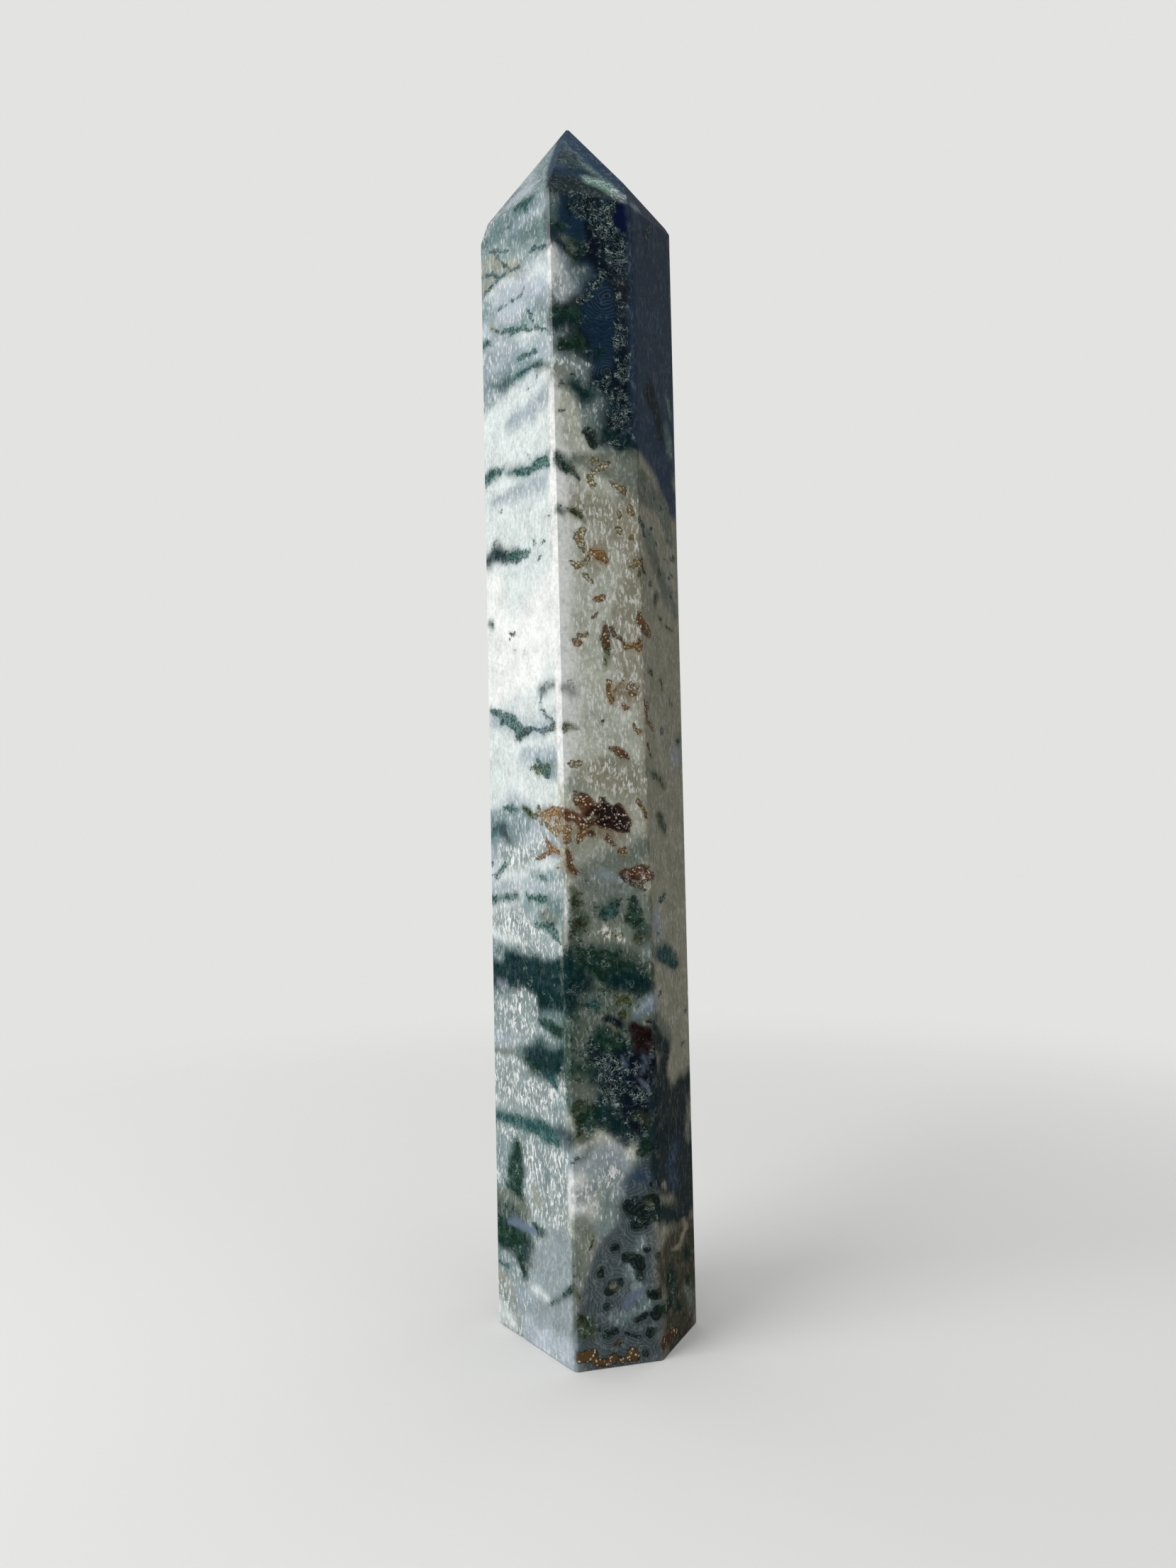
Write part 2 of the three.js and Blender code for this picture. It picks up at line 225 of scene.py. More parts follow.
BACK_RIGHT = [
    ("slate", (0, 298, 17), (-2, 274, 17), (-9, 252, 11)),
    ("slate", (-15, 232, 8), (-15, 210, 6)),
    ("dusk", (8, 264, 8), (2, 248, 7)),
    ("murk", (12, 250, 6), (4, 238, 6)),
    ("thicket", (12, 268, 4), (15, 258, 4)),
    ("lace", (13, 266, 1.8), (15, 260, 2)),
    ("pearl", (0, 234, 4), (10, 235, 4)),
    ("fern", (-4, 243, 1.4), (3, 240, 1.8), (10, 239, 1.6), (17, 241, 1.2)),
    ("teal", (-8, 229, 1.4), (0, 226.6, 2), (8, 224, 2.2), (17, 226, 2)),
    ("haze", (0, 214, 5), (12, 209, 5)),
    ("fern", (0, 207, 1.2), (6, 204, 1.8), (12, 203.4, 1.4), (17, 205, 1)),
    ("sand", (-17, 196, 6), (-17, 120, 7), (-17, 76, 5)),
    ("moth", (-13, 194, 3), (-12, 182, 3)),
    ("vein", (-10, 190, 0.8), (-6, 188.6, 0.7)),
    ("deep", (0, 190.6, 1.2), (5, 189.6, 2), (10, 188.6, 2.6), (17, 189.4, 1.8)),
    ("milk_and_glow", (4, 172, 8), (-3, 154, 8), (8, 140, 6)),
    ("lichen", (-13, 168, 1), (-11, 165, 0.9)),
    ("fern", (-3, 164, 0.8), (2, 161, 1.6), (8, 157.6, 1.5), (12, 158, 0.8)),
    ("amber", (10, 166, 0.9), (12.4, 163.6, 0.7)),
    ("gold", (-7, 149.4, 0.9), (-5.4, 147.4, 0.8)),
    ("vein", (3, 148.6, 0.6), (9, 145, 0.8), (17, 146, 0.7)),
    ("haze", (-8, 130, 6), (6, 122, 7)),
    ("mist", (-6, 124, 3.4), (2, 121, 4)),
    ("dusk", (-3, 124, 2), (3, 120.4, 2.4)),
    ("halo", (12, 125, 3)),
    ("rust", (9, 127, 0.7), (12, 124, 1), (15, 122.6, 0.7)),
    ("murk", (-17, 107, 2), (-6, 104.4, 2.2), (4, 105.6, 1.8), (17, 104, 2)),
    ("teal", (-12, 105.6, 1), (-4, 104.6, 1.2), (4, 105.6, 0.8)),
    ("quartz", (-15, 97, 4), (-5, 98, 4.4), (6, 97, 5), (17, 98, 5)),
    ("murk", (-14, 87, 8), (2, 86, 8), (17, 88, 8)),
    ("deep", (-17, 86, 4), (-8, 88, 5), (2, 89, 6), (10, 89.4, 6), (17, 90, 5)),
    ("quartz", (-14, 77, 4), (-4, 76, 5), (8, 77, 4.6), (17, 77, 5)),
    ("deep", (-10, 68, 2), (-2, 66.8, 2.6), (6, 66.6, 3.4), (17, 67, 4)),
    ("storm", (-17, 60, 6), (-14, 50, 7), (-12, 38, 7)),
    ("quartz", (-6, 59, 3), (3, 58, 4), (11, 58, 4.4), (17, 58, 4)),
    ("teal", (-6, 51.4, 2), (5, 50, 2.6), (17, 52, 2.2)),
    ("quartz", (3, 43, 4), (9, 40, 6), (17, 41, 6)),
    ("green", (-5, 40, 2.6), (-4, 33, 3), (0, 28, 2.6)),
    ("umber", (-15, 20, 8), (-14, 5, 9)),
    ("dusk", (-3, 22, 4), (6, 21, 4)),
    ("paleblue", (10, 16, 8), (7, 6, 8), (15, 6, 8)),
    ("green", (3, 12, 0.5), (8, 14.6, 0.9), (17, 14, 0.8)),
]
LEFT = [
    # The point and the shoulder
    ("haze", (-6, 284, 12), (2, 276, 12)),
    ("mist", (-4, 297, 4), (4, 284, 3.4), (10, 276, 3)),
    ("mist", (-14, 274, 4), (-6, 281, 3)),
    ("pearl", (-6, 291, 2.4), (-10, 284, 2)),
    ("pearl", (-2, 276, 2), (4, 279, 1.6)),
    ("mist", (-14, 264, 9), (0, 266, 9), (16, 265, 9)),
    ("murk", (-13, 269.5, 2), (-4, 270, 3), (9, 270, 2.2)),
    ("haze", (3, 266.6, 1.2), (14, 267.6, 1.6)),
    ("murk", (0, 264.6, 1.4), (9, 263, 2.6), (16, 262, 3)),
    ("beige", (-14, 262.6, 1.6), (-8, 264, 2), (-6, 261, 2)),
    ("beige", (-14, 257.6, 1.4), (-9, 258.6, 1.8)),
    ("beige", (-3, 259.6, 1.4), (1, 258.4, 2.4), (4, 255.6, 1.4)),
    ("vein", (-15, 261.5, 0.6), (-11, 260.2, 0.6), (-8, 259.8, 0.5), (-5, 257.6, 0.5)),
    ("vein", (-15, 256, 0.8), (-10, 256, 0.7), (-6, 257.2, 0.5), (0, 258.4, 0.4)),
    ("vein", (-7, 265, 0.5), (-5, 262, 0.5), (-3, 260, 0.5), (0, 258.6, 0.5), (3, 257, 0.6), (6, 254.4, 0.7)),
    ("vein", (-10, 266.6, 0.4), (-6, 265, 0.4), (-1, 263, 0.4)),
    ("vein", (7, 258.6, 0.5), (12, 259, 0.5), (16.6, 256.6, 0.8)),
    ("teal", (4, 271.6, 1.2), (8, 271, 1.2), (10, 271.8, 0.7)),
    ("fern", (6, 268.9, 0.4), (8, 268.6, 0.4)),
    # Upper half
    ("mist", (-14, 229, 2.6), (-6, 231.6, 3), (2, 236, 2)),
    ("haze", (-15, 243, 9), (-4, 247, 8), (8, 249, 7), (16, 248, 6)),
    ("mist", (-16, 255, 2.6), (-11, 251, 3.4), (-6, 247, 2)),
    ("pearl", (-6, 253, 1.4), (0, 252.4, 2.6), (10, 252, 4), (16, 250, 4)),
    ("frost", (7, 254, 0.8), (13, 253, 1.6), (16.6, 250, 1.4)),
    ("pearl", (-14, 247, 1.4), (-4, 248, 1.6), (4, 247.4, 1.6)),
    ("beige", (-9, 247.4, 1.4), (-6, 244.6, 1.2)),
    ("vein", (-5, 250.2, 0.3), (3, 250, 0.4), (5, 250, 0.5), (5.8, 251.6, 0.5)),
    ("vein", (-9, 247.2, 0.4), (-6, 244.6, 0.6)),
    ("teal", (-16, 244.4, 1.1), (-12, 243.2, 1), (-9.4, 241.8, 0.4)),
    ("mist", (-3, 243.8, 1.2), (4, 241.6, 1.6), (10, 243, 3), (16, 240, 3)),
    ("fern", (-4, 244, 0.7), (0, 243, 1), (4, 241, 0.8), (9, 240.2, 0.7), (16, 236.8, 0.7)),
    ("vein", (8, 245, 0.5), (9.6, 242, 0.7)),
    ("quartz", (-11, 239, 1.4), (-3, 238.2, 1.4), (3, 236.6, 1)),
    ("haze", (-16, 234, 5), (0, 234, 5), (16, 233, 4)),
    ("mist", (-12, 232.6, 1.2), (-4, 231.8, 3), (3, 232.6, 3), (9, 234, 1.4)),
    ("dusk", (-8, 231.6, 0.6), (-5, 231, 1.1), (-2, 231.6, 0.8)),
    ("fern", (2, 234.6, 0.5), (6, 234.4, 0.8), (9.6, 234, 0.7)),
    ("teal", (-1, 230.4, 0.7), (4, 231, 1.1), (9, 230.4, 1.1), (12, 229.9, 0.5)),
    ("olive", (10, 230, 0.4), (15.8, 228.6, 0.6)),
    ("vein", (5.4, 227, 0.3), (8.4, 226.8, 0.3), (10.4, 228.4, 0.3)),
    ("haze", (0, 220, 2.4), (8, 221, 3), (14, 223, 3)),
    ("teal", (-16.4, 210.6, 2.2), (-10.4, 210.4, 1.9), (-6.4, 209.8, 1.1), (-4, 210.6, 0.4)),
    ("mist", (-3.4, 209.4, 0.5), (3, 207.4, 1.6), (8, 207, 2.2), (16, 206.6, 2.2)),
    ("teal", (-2.6, 209.2, 0.4), (3, 207.6, 0.9), (5, 206.8, 0.9)),
    ("fern", (1, 208, 0.7), (4, 206.8, 1.3), (8, 206.6, 1.4), (15.6, 206.4, 1.2)),
    ("vein", (4.4, 211.4, 0.3), (6, 209.8, 0.4)),
    ("haze", (-10, 203, 1.6), (2, 203, 1.8), (12, 202, 2)),
    ("vein", (-8.6, 199.4, 0.3), (-6, 199.4, 0.4)),
    ("vein", (13.6, 194.4, 0.4), (16, 195.4, 0.5)),
    ("deep", (-16.6, 189.8, 0.9), (-11, 189, 2), (-8.6, 190.2, 2.4), (-4.4, 188.2, 1.8), (0, 187.6, 1.3)),
    ("fern", (-3, 187.8, 1.3), (1, 187.6, 1.4), (5.4, 187.5, 0.7)),
    ("fern", (7.8, 188.9, 0.6), (8, 188.4, 0.5)),
    ("fern", (10.4, 188.2, 0.4), (11.4, 188.2, 0.3)),
    ("vein", (8.2, 185.4, 0.4), (11, 186, 0.3)),
    # Middle
    ("milk_and_glow", (-12, 180, 6), (-8, 160, 8), (6, 166, 10), (14, 176, 6)),
    ("teal", (-12.6, 173.6, 1), (-11.2, 172.8, 1.2)),
    ("rust", (-3.4, 169.9, 0.3), (-1, 169.6, 0.4)),
    ("rust", (-3.8, 168.3, 0.3), (-3.2, 168.3, 0.3)),
    ("rust", (-2, 164.6, 0.3), (-1.8, 164.5, 0.2)),
    ("vein", (-8.8, 165.6, 0.3), (-8.2, 165.5, 0.2)),
    ("fern", (1.4, 162.5, 0.3), (2, 163, 0.2)),
    ("haze", (-10, 149, 2), (-2, 146.6, 2.6), (6, 145.4, 2), (14, 146, 1.8)),
    ("teal", (-12.6, 151.8, 0.5), (-10, 150.9, 0.7), (-8.4, 150.2, 0.4)),
    ("fern", (-12, 151.4, 0.6), (-8, 149.6, 1), (-4.6, 147.6, 2), (0, 145.6, 2.2), (4, 145.6, 1)),
    ("green", (-1, 143.6, 0.7), (3, 144.6, 1), (4.4, 146, 0.6)),
    ("fern", (-8, 147.6, 0.7), (-3, 148.6, 0.8)),
    ("vein", (4, 145.6, 0.6), (9, 145.2, 0.6), (13, 145.4, 0.9), (17, 146.2, 1.2)),
    ("lichen", (13.6, 145.6, 0.6), (17, 145.4, 0.9)),
    ("deep", (9.4, 154.2, 0.9), (11, 153.8, 0.8)),
    ("deep", (12, 154.6, 0.5), (14, 155.2, 0.9), (17, 154.4, 0.5)),
    ("vein", (9.6, 153.4, 0.5), (9.2, 149.6, 0.5), (10.6, 148.8, 0.5), (14, 146.6, 0.5)),
    ("haze", (2, 138.6, 1.8), (16, 138, 3)),
    ("mist", (8, 135.6, 1.6), (16.6, 135.4, 3)),
    ("lichen", (4.4, 135.6, 0.4), (8, 135.2, 1.1), (10.6, 135.6, 1.1)),
    ("fern", (7.8, 136.8, 0.6), (10.8, 134.6, 1)),
    ("haze", (-13, 119, 7), (-4, 124, 6.4), (6, 121, 6), (14, 120, 6)),
    ("mist", (-16, 121, 5), (-6, 122, 5.4), (0, 124, 3.6)),
    ("dusk", (-12.4, 121.6, 1.6), (-9.4, 121, 2.6), (-7, 118.4, 1.6)),
    ("teal", (-15.6, 119, 1.2), (-12, 120.6, 1)),
    ("fern", (-9, 127.6, 0.5), (-4, 127.8, 0.8), (-2, 127, 0.6)),
    ("quartz", (-8, 115, 2.6), (2, 115, 3), (10, 118.6, 2)),
    ("lichen", (0, 127.6, 0.5), (2.6, 125.8, 1.1), (6, 124, 1)),
    ("gold", (5.8, 126.9, 0.6), (6.8, 126.8, 0.7)),
    ("halo", (9, 124.6, 1.6), (13, 124, 2.6), (17, 123, 4)),
    ("gold", (6, 124.8, 0.6), (11.4, 124.2, 0.8), (8, 122.6, 0.5)),
    ("gold", (10.6, 122.2, 0.5), (14.4, 121.2, 0.6)),
    ("amber", (11.4, 125.4, 0.7), (14, 126.6, 0.8), (17, 125.8, 1.3)),
    ("gold", (14.6, 123.4, 1), (17, 122.6, 1.3)),
    ("halo", (11, 117.4, 1), (16, 117, 1.6)),
    ("amber", (7, 115.4, 0.4), (9, 116, 0.6), (12.4, 116.8, 0.6), (16.6, 116, 0.4)),
    ("amber", (10.4, 118.8, 0.5), (12, 117.2, 0.7)),
    ("amber", (13.6, 112.6, 0.3), (15.4, 112.8, 0.4)),
    ("fern", (-12.4, 110.4, 0.6), (-9.4, 111, 0.8), (-8, 113, 1)),
    ("vein", (-16, 110, 0.4), (-12, 110, 0.6)),
    ("fern", (-16, 112.4, 0.4), (-13.6, 112.6, 0.5)),
    ("mist", (4, 110.6, 1.4), (10, 110.6, 1.8), (16, 111, 1.4)),
    ("fern", (6, 110.4, 0.6), (10, 110.4, 0.8)),
    ("haze", (-14, 107.6, 1.6), (0, 108, 1.6), (14, 108, 1.6)),
    ("mist", (1, 103.6, 2.4), (8, 103, 4), (16, 102, 5)),
    ("teal", (-17, 104.8, 1.9), (-11, 104.9, 1.1), (-6, 104.9, 1), (-3.4, 104.8, 1.2)),
    ("murk", (1, 105.2, 1), (8, 105.6, 1.4), (13, 103, 2)),
    ("fern", (1, 105.6, 0.8), (5, 105.8, 0.8), (9, 105.6, 1)),
    ("moth", (8, 102, 1.4), (11, 99.6, 2)),
    ("fern", (5, 99.6, 0.9), (9, 99, 0.8), (14, 96, 0.8)),
    ("frost", (-15, 95.6, 1.8), (-4, 96, 2.4), (5, 94.6, 1.4)),
    ("quartz", (-12, 99.6, 3), (-2, 98.6, 3.4), (2, 95.6, 3), (6, 94.4, 1.6)),
    ("vein", (-15.6, 93.4, 0.6), (-12.4, 94, 0.6)),
    # The broad dark band and what lies under it
    ("murk", (-17, 86, 8), (-6, 86.4, 8), (6, 85, 8), (17, 82, 11)),
    ("deep", (-17, 87.4, 4), (-8, 87, 5), (4, 86.4, 6.2), (10, 85.4, 7.2), (17, 85.8, 6.8)),
    ("deep", (0, 82.6, 4), (6, 81.4, 4), (12, 81, 3.4)),
    ("mist", (-14.4, 91.6, 0.8), (-10, 91, 1)),
    ("haze", (-12, 84.4, 0.8), (-10, 83.6, 1)),
    ("lichen", (-15.4, 87, 0.5), (-14.6, 86.4, 0.5)),
    ("quartz", (-14, 76.4, 4), (-6, 77.4, 4.2), (1, 77.4, 4), (4.4, 74, 2.8)),
    ("quartz", (-2, 81.4, 1), (3, 80.4, 1.2)),
    ("murk", (9, 77, 2.6), (17, 76, 5)),
    ("green", (7, 76, 0.8), (12, 74.8, 1.4), (17, 76, 1.6)),
    ("haze", (-15, 71, 1.8), (-6, 71, 1.2)),
    ("moth", (-16, 67.4, 1), (-8, 67.2, 1.3), (-2, 67.6, 2)),
    ("murk", (-1, 67, 3.6), (6, 67.6, 5.6), (16, 67, 6)),
    ("deep", (0.6, 67.4, 2.6), (6, 67.4, 4.4), (11, 67, 4.6), (14, 70, 2.4)),
    ("green", (-1.6, 66.2, 1.2), (2.6, 64.8, 1.8)),
    ("teal", (8.4, 63.4, 1.8), (13.4, 61.6, 1.6)),
    ("quartz", (-13, 60.4, 4.6), (-3, 60, 5), (5, 59, 4.2), (9, 57, 2.4)),
    ("mist", (12, 57.6, 1.8), (17, 60.6, 4)),
    ("quartz", (14, 62.6, 1.6), (16, 61.6, 1.6)),
    ("murk", (-17, 50.4, 2.4), (-6, 51.4, 2.4), (6, 51, 3.4), (17, 51, 3.4)),
    ("teal", (-16.6, 50, 1.2), (-8, 51, 1.5), (0, 51.4, 2), (5, 51.2, 3), (10, 51, 2.8)),
    ("bluestone", (12, 52.8, 1.2), (17, 51.4, 2.4)),
    ("quartz", (-12, 47, 1.6), (-2, 46.6, 1.2), (8, 46.6, 1.4), (15, 46, 2)),
    ("murk", (-2, 47.6, 1), (6, 46.6, 1)),
    ("mist", (-17, 38, 8), (-11, 37, 8)),
    ("quartz", (2, 42.4, 4.6), (12, 41.4, 7), (4.6, 35, 4.2), (10, 34.6, 4.6)),
    ("quartz", (-14.4, 38.4, 2), (-12.6, 34, 1.6)),
    ("beige", (1.6, 36, 1.2), (3.6, 33.6, 1.4)),
    ("murk", (6, 43, 0.7), (6.6, 39.6, 0.8)),
    ("murk", (-6, 44, 3.4), (-7, 34, 5)),
    ("green", (-5, 44.8, 1.8), (-6.4, 40, 3), (-7, 35, 2.8), (-4.4, 31, 2.6)),
    ("moth", (-15, 30.6, 2.6), (-9, 31, 2.6), (-1, 31.4, 1.8)),
    ("glass", (-17, 24, 7), (-8, 24, 7), (-2, 22, 5)),
    ("dusk", (-16.6, 23, 4), (-8, 23, 4), (-2, 21.6, 3.4)),
    ("green", (-14, 22.6, 3), (-5, 22.6, 3)),
    ("green", (-4, 18, 1.8), (-3.2, 14.6, 1.4)),
    ("green", (0.6, 28, 1), (5, 27, 1.6), (8.4, 26.6, 0.7)),
    ("lavender", (-10, 25.8, 0.7), (-6.6, 27.6, 1.1), (0, 27, 1), (2, 26.6, 0.5)),
    ("lavender", (-6.6, 27, 0.6), (-6.4, 29, 0.3)),
    ("paleblue", (7, 19, 7), (13, 23, 7), (6, 8, 8), (14, 8, 8)),
    ("pearl", (0, 2, 4.4), (15, 2, 4.4)),
    ("haze", (1.4, 15, 2), (-2, 11, 2.4), (-8, 9, 2)),
    ("frost", (-1, 13, 0.8), (6, 12.6, 0.8)),
    ("green", (5.4, 11.4, 0.3), (9.6, 13.8, 0.6), (12.6, 16, 0.8), (17, 18.4, 1.6)),
    ("mist", (-17, 16, 3), (-8, 15, 3)),
    ("beige", (-17, 10, 4), (-12, 8, 5), (-9, 4, 4)),
    ("quartz", (-13, 8, 2.6), (-9, 4.6, 2.6)),
    ("frost", (-15, 4, 1.6), (-9, 2, 1.6)),
    ("vein", (-16, 15.4, 0.6), (-11, 15.6, 0.6)),
]
FRONT = [
    # The dark top
    ("storm", (-6, 264, 7), (-5, 256, 7), (-4, 240, 8), (0, 226, 8)),
    ("night", (2.4, 262, 8.6), (3.4, 254, 9.2), (3.4, 244, 8.6), (4.4, 230, 8), (5, 220, 7), (7, 213, 5.4)),
    ("navy", (-7, 267, 4), (-6.4, 259, 4)),
    ("navy", (-4, 250, 3), (-1, 246, 3.6), (0.6, 238, 4), (0, 230, 3.4)),
    # The point
    ("slate", (-2, 281, 12), (-2, 294, 10)),
    ("storm", (-10, 273, 4), (0, 273, 3.6), (10, 273, 3.6)),
    ("dusk", (-5, 285, 4), (0, 278, 3)),
    ("navy", (-8, 278, 1.6), (-1, 280, 1.4)),
    ("murk", (-3, 293, 1.6), (-1, 288, 1)),
    ("mist", (-1.4, 299, 2), (-1.2, 297, 1.8)),
    ("murk", (0, 284, 1.2), (4, 280, 1.8)),
    ("mint", (0, 276.4, 1.6), (4, 274.6, 2.6), (6.4, 274, 2)),
    ("quartz", (5.2, 272.8, 1.2), (8.4, 270.8, 1.4)),
    # What grows in the dark top
    ("murk", (-11.4, 269, 0.8), (-11, 264, 0.9)),
    ("moth", (-8.6, 259.8, 0.8), (-6.4, 257.4, 1.5), (-7.6, 254.4, 0.9)),
    ("thicket", (-5, 267.6, 3), (0, 267, 3), (2.4, 262, 3), (3, 256, 3)),
    ("green", (-11, 262.8, 0.9), (-8, 262.6, 0.8)),
    ("green", (-9, 257, 0.8), (-6.4, 258.8, 0.8), (-4.4, 258, 0.8)),
    ("green", (-8.4, 255.4, 0.6), (-6, 253.9, 0.5), (-4, 254.8, 0.5), (-3.6, 257.4, 0.5)),
    ("pool", (5, 267.4, 1.8), (6.2, 264.6, 2.4), (8, 267, 2)),
    ("lace", (3.4, 269, 1), (2.8, 264, 1.5), (3.2, 261.6, 1.8), (6, 259.6, 2.6), (7.2, 254, 2.2)),
    ("lace", (5, 252, 0.9), (1, 250.6, 0.8), (-2.4, 247.6, 0.9), (-4.4, 244.6, 1.2)),
    ("lace", (2.4, 248.6, 0.5), (4.6, 245.4, 0.7)),
    ("lace", (8, 248, 1.4), (8, 243, 1.2)),
    ("lace", (4.8, 240, 1.4), (5.4, 237.6, 1.8), (4.4, 235, 1)),
    ("lace", (3.4, 232.6, 0.8), (4.8, 230, 0.9), (5, 226.6, 0.9), (7.4, 233, 0.9)),
    ("thicket", (1.4, 224, 1.8), (4, 220, 3.6), (6, 214, 2.6)),
    ("lace", (7, 213.6, 1.4), (8, 211, 1)),
    ("lavender", (3.8, 213, 0.2), (5.8, 215.2, 0.2)),
    ("murk", (-9.4, 250.6, 2.4), (-6, 249.6, 2.2), (-3.6, 250.4, 1)),
    # The pale wedge along the left edge: white chalcedony, partly a painted glow of the light that comes
    # through the stone from the lit left side.
    ("pearl", (-12, 255, 1.2), (-11, 250, 2.4), (-9.4, 247.4, 2)),
    ("haze", (-11, 251.6, 3.6), (-8, 248, 2.6)),
    ("milk_and_glow", (-12.6, 256, 1), (-11.4, 250.4, 2.4), (-9, 247.6, 1.4)),
    ("quartz", (-10, 249, 1.4), (-9, 247.4, 1.2)),
    ("deep", (-11, 241, 2.6), (-7, 240.6, 2.6), (-5, 240, 1.6)),
    ("green", (-10.6, 242, 1.4), (-6, 241.6, 1.4)),
    ("mist", (-11.4, 236.6, 1), (-8.6, 236.6, 0.9)),
    ("green", (-8.6, 233.8, 1.8), (-5, 234.2, 1.8)),
    ("mist", (-10.4, 228.6, 3), (-6.6, 228, 2.8), (-4.4, 226.6, 2)),
    ("beige", (-10.4, 227, 1.8), (-7, 227.6, 1.6)),
    ("quartz", (-9, 229.6, 1.2), (-3.6, 229, 1)),
    ("deep", (-1.8, 232, 1.6), (0, 233, 1.4)),
    ("eye", (2, 227.8, 0.8)),
    ("eye", (-6, 226.4, 0.5)),
    ("eye", (1.2, 245.8, 0.6)),
    # White along the left edge: white chalcedony and a painted glow of the light that comes through from the
    # lit left side.
    ("milk_and_glow", (-12.6, 222, 3.4), (-12.4, 214, 4.4)),
    ("smoke", (-7, 218, 4.4), (-6, 212, 4)),
    ("murk", (-3, 221, 3), (-1.4, 214, 2.6), (1, 210, 2)),
    ("deep", (-5.4, 223, 1.7), (-3.6, 221.6, 1.8)),
    ("green", (-9.8, 224.4, 0.6), (-8.2, 223.8, 0.6)),
    ("vein", (-10.4, 218.2, 0.5), (-9.2, 218.6, 0.4)),
    ("quartz", (-4.4, 217.8, 0.5), (-1.4, 219.4, 0.5)),
    ("eye", (-2.6, 213.8, 1.6), (-2, 211.4, 1.3)),
    ("deep", (1.6, 213, 2.2), (6, 209.6, 2.4), (9, 209, 2)),
    ("lace", (0.4, 211.6, 0.5), (2.6, 211.6, 0.7), (3.6, 210.6, 0.5)),
    ("lace", (3.6, 208, 0.8), (7, 208, 0.9)),
    ("eye", (-2.4, 207.6, 0.9), (-1, 207.2, 0.8)),
    # The pale middle with its small inclusions
    ("tallow", (-7, 198, 3), (0, 194, 4), (6, 191, 4)),
    ("moth", (-6, 207, 1.6), (1, 206, 3), (6, 205, 4.4), (7, 198, 3.4)),
    ("tallow", (7, 196, 3.4), (7, 180, 3.8), (5, 166, 4.6), (7, 154, 3.4)),
    ("tallow", (-3, 184, 2.6), (0, 187, 2)),
    # White along the left edge: white chalcedony and a painted glow of the light that comes through from the
    # lit left side.
    ("milk_and_glow", (-13, 206, 4.8), (-13, 168, 5.2), (-12.6, 150, 5), (-13, 136, 4.4)),
    ("green", (-11, 206.6, 1.6), (-8.6, 205.6, 1.4), (-7.4, 208, 0.5)),
    ("green", (-9.6, 204.6, 1), (-7.4, 204, 0.9), (-6, 202.8, 0.6)),
    ("green", (-10.8, 195.8, 1.1), (-9.4, 194.8, 1.1)),
    ("lichen", (-7, 195.2, 1.1), (-6.2, 193.4, 0.9), (-5.2, 191.4, 0.5)),
    ("gold", (-2.4, 207, 0.9), (-1.4, 207.4, 0.8)),
    ("gold", (-2.2, 203, 0.9), (-1.6, 201, 0.8)),
    ("gold", (-1, 204.4, 0.7), (1.4, 206.4, 0.7)),
    ("gold", (2.4, 201.8, 0.5), (4.2, 200.2, 0.8), (4.8, 199, 0.4)),
    ("gold", (6.3, 196.2, 0.8), (6.7, 195, 0.6)),
    ("gold", (3.7, 194.8, 0.7)),
    ("gold", (3.8, 191.4, 0.8)),
    ("gold", (6.4, 189.4, 0.7)),
    ("gold", (-5, 189.4, 0.7), (-6.6, 188, 0.8), (-4.8, 186, 0.4)),
    ("halo", (-3, 185.6, 1.4), (0, 184, 1.6)),
    ("amber", (-2.8, 185.2, 0.6), (-0.6, 184.4, 1.3), (0.4, 183.4, 0.6)),
    ("gold", (-8, 183, 0.6), (-6.8, 182.2, 0.9), (-4, 184, 0.4)),
    ("gold", (5.6, 182.4, 0.5), (7.4, 184.2, 0.8), (8.6, 182, 0.5)),
    ("gold", (-4.8, 180.4, 0.6), (-3.7, 179.4, 0.7)),
    ("amber", (-1.5, 174.8, 1)),
    ("gold", (-2.4, 170.6, 0.5)),
    ("lichen", (-0.4, 168.6, 0.6), (-0.2, 165, 1.1), (0.4, 161.4, 0.7), (-0.1, 158.8, 0.4)),
    ("rust", (-0.3, 167.8, 0.5), (0, 164.4, 0.8)),
    ("amber", (-7.2, 164, 0.9), (-6.3, 163.6, 0.6)),
    ("amber", (-5.8, 165.6, 0.5), (-4.6, 166.2, 0.5)),
    ("rust", (1.4, 168, 0.3), (1.8, 166.4, 0.3), (4.6, 164.4, 0.25)),
    ("amber", (5, 163.8, 0.5), (8.4, 163.4, 0.7), (8.6, 164.8, 0.5)),
    ("rust", (8, 171, 0.5), (8.2, 168.8, 0.7), (9.4, 168.2, 0.8)),
    ("lichen", (8.4, 181.4, 0.8), (8.8, 179.6, 0.7)),
    ("deep", (-10.6, 154, 0.7), (-8.8, 154.4, 0.6), (-8.4, 152.8, 0.4)),
    ("halo", (1, 152.6, 1.6), (6, 152.6, 2)),
    ("amber", (0.2, 155.4, 0.4), (0.4, 152.4, 0.7), (1.2, 151.2, 0.7)),
    ("amber", (2, 152.4, 0.25), (3.2, 154.6, 0.25), (4.2, 156, 0.25)),
    ("ivory", (5.8, 154.2, 1.1), (6.6, 153.4, 1.2)),
    ("rust", (6.6, 152.6, 0.6)),
    ("amber", (4.2, 149.8, 0.7), (5.4, 149.4, 0.5)),
    ("rust", (-1.4, 147, 0.3), (-1.3, 146.4, 0.3)),
    ("lichen", (-10.4, 145.4, 1.2), (-8.6, 145.2, 0.8)),
    ("amber", (6.2, 145.6, 0.4), (7.4, 144.4, 0.6)),
    ("halo", (1.4, 139.2, 1), (4.6, 136.4, 1.2)),
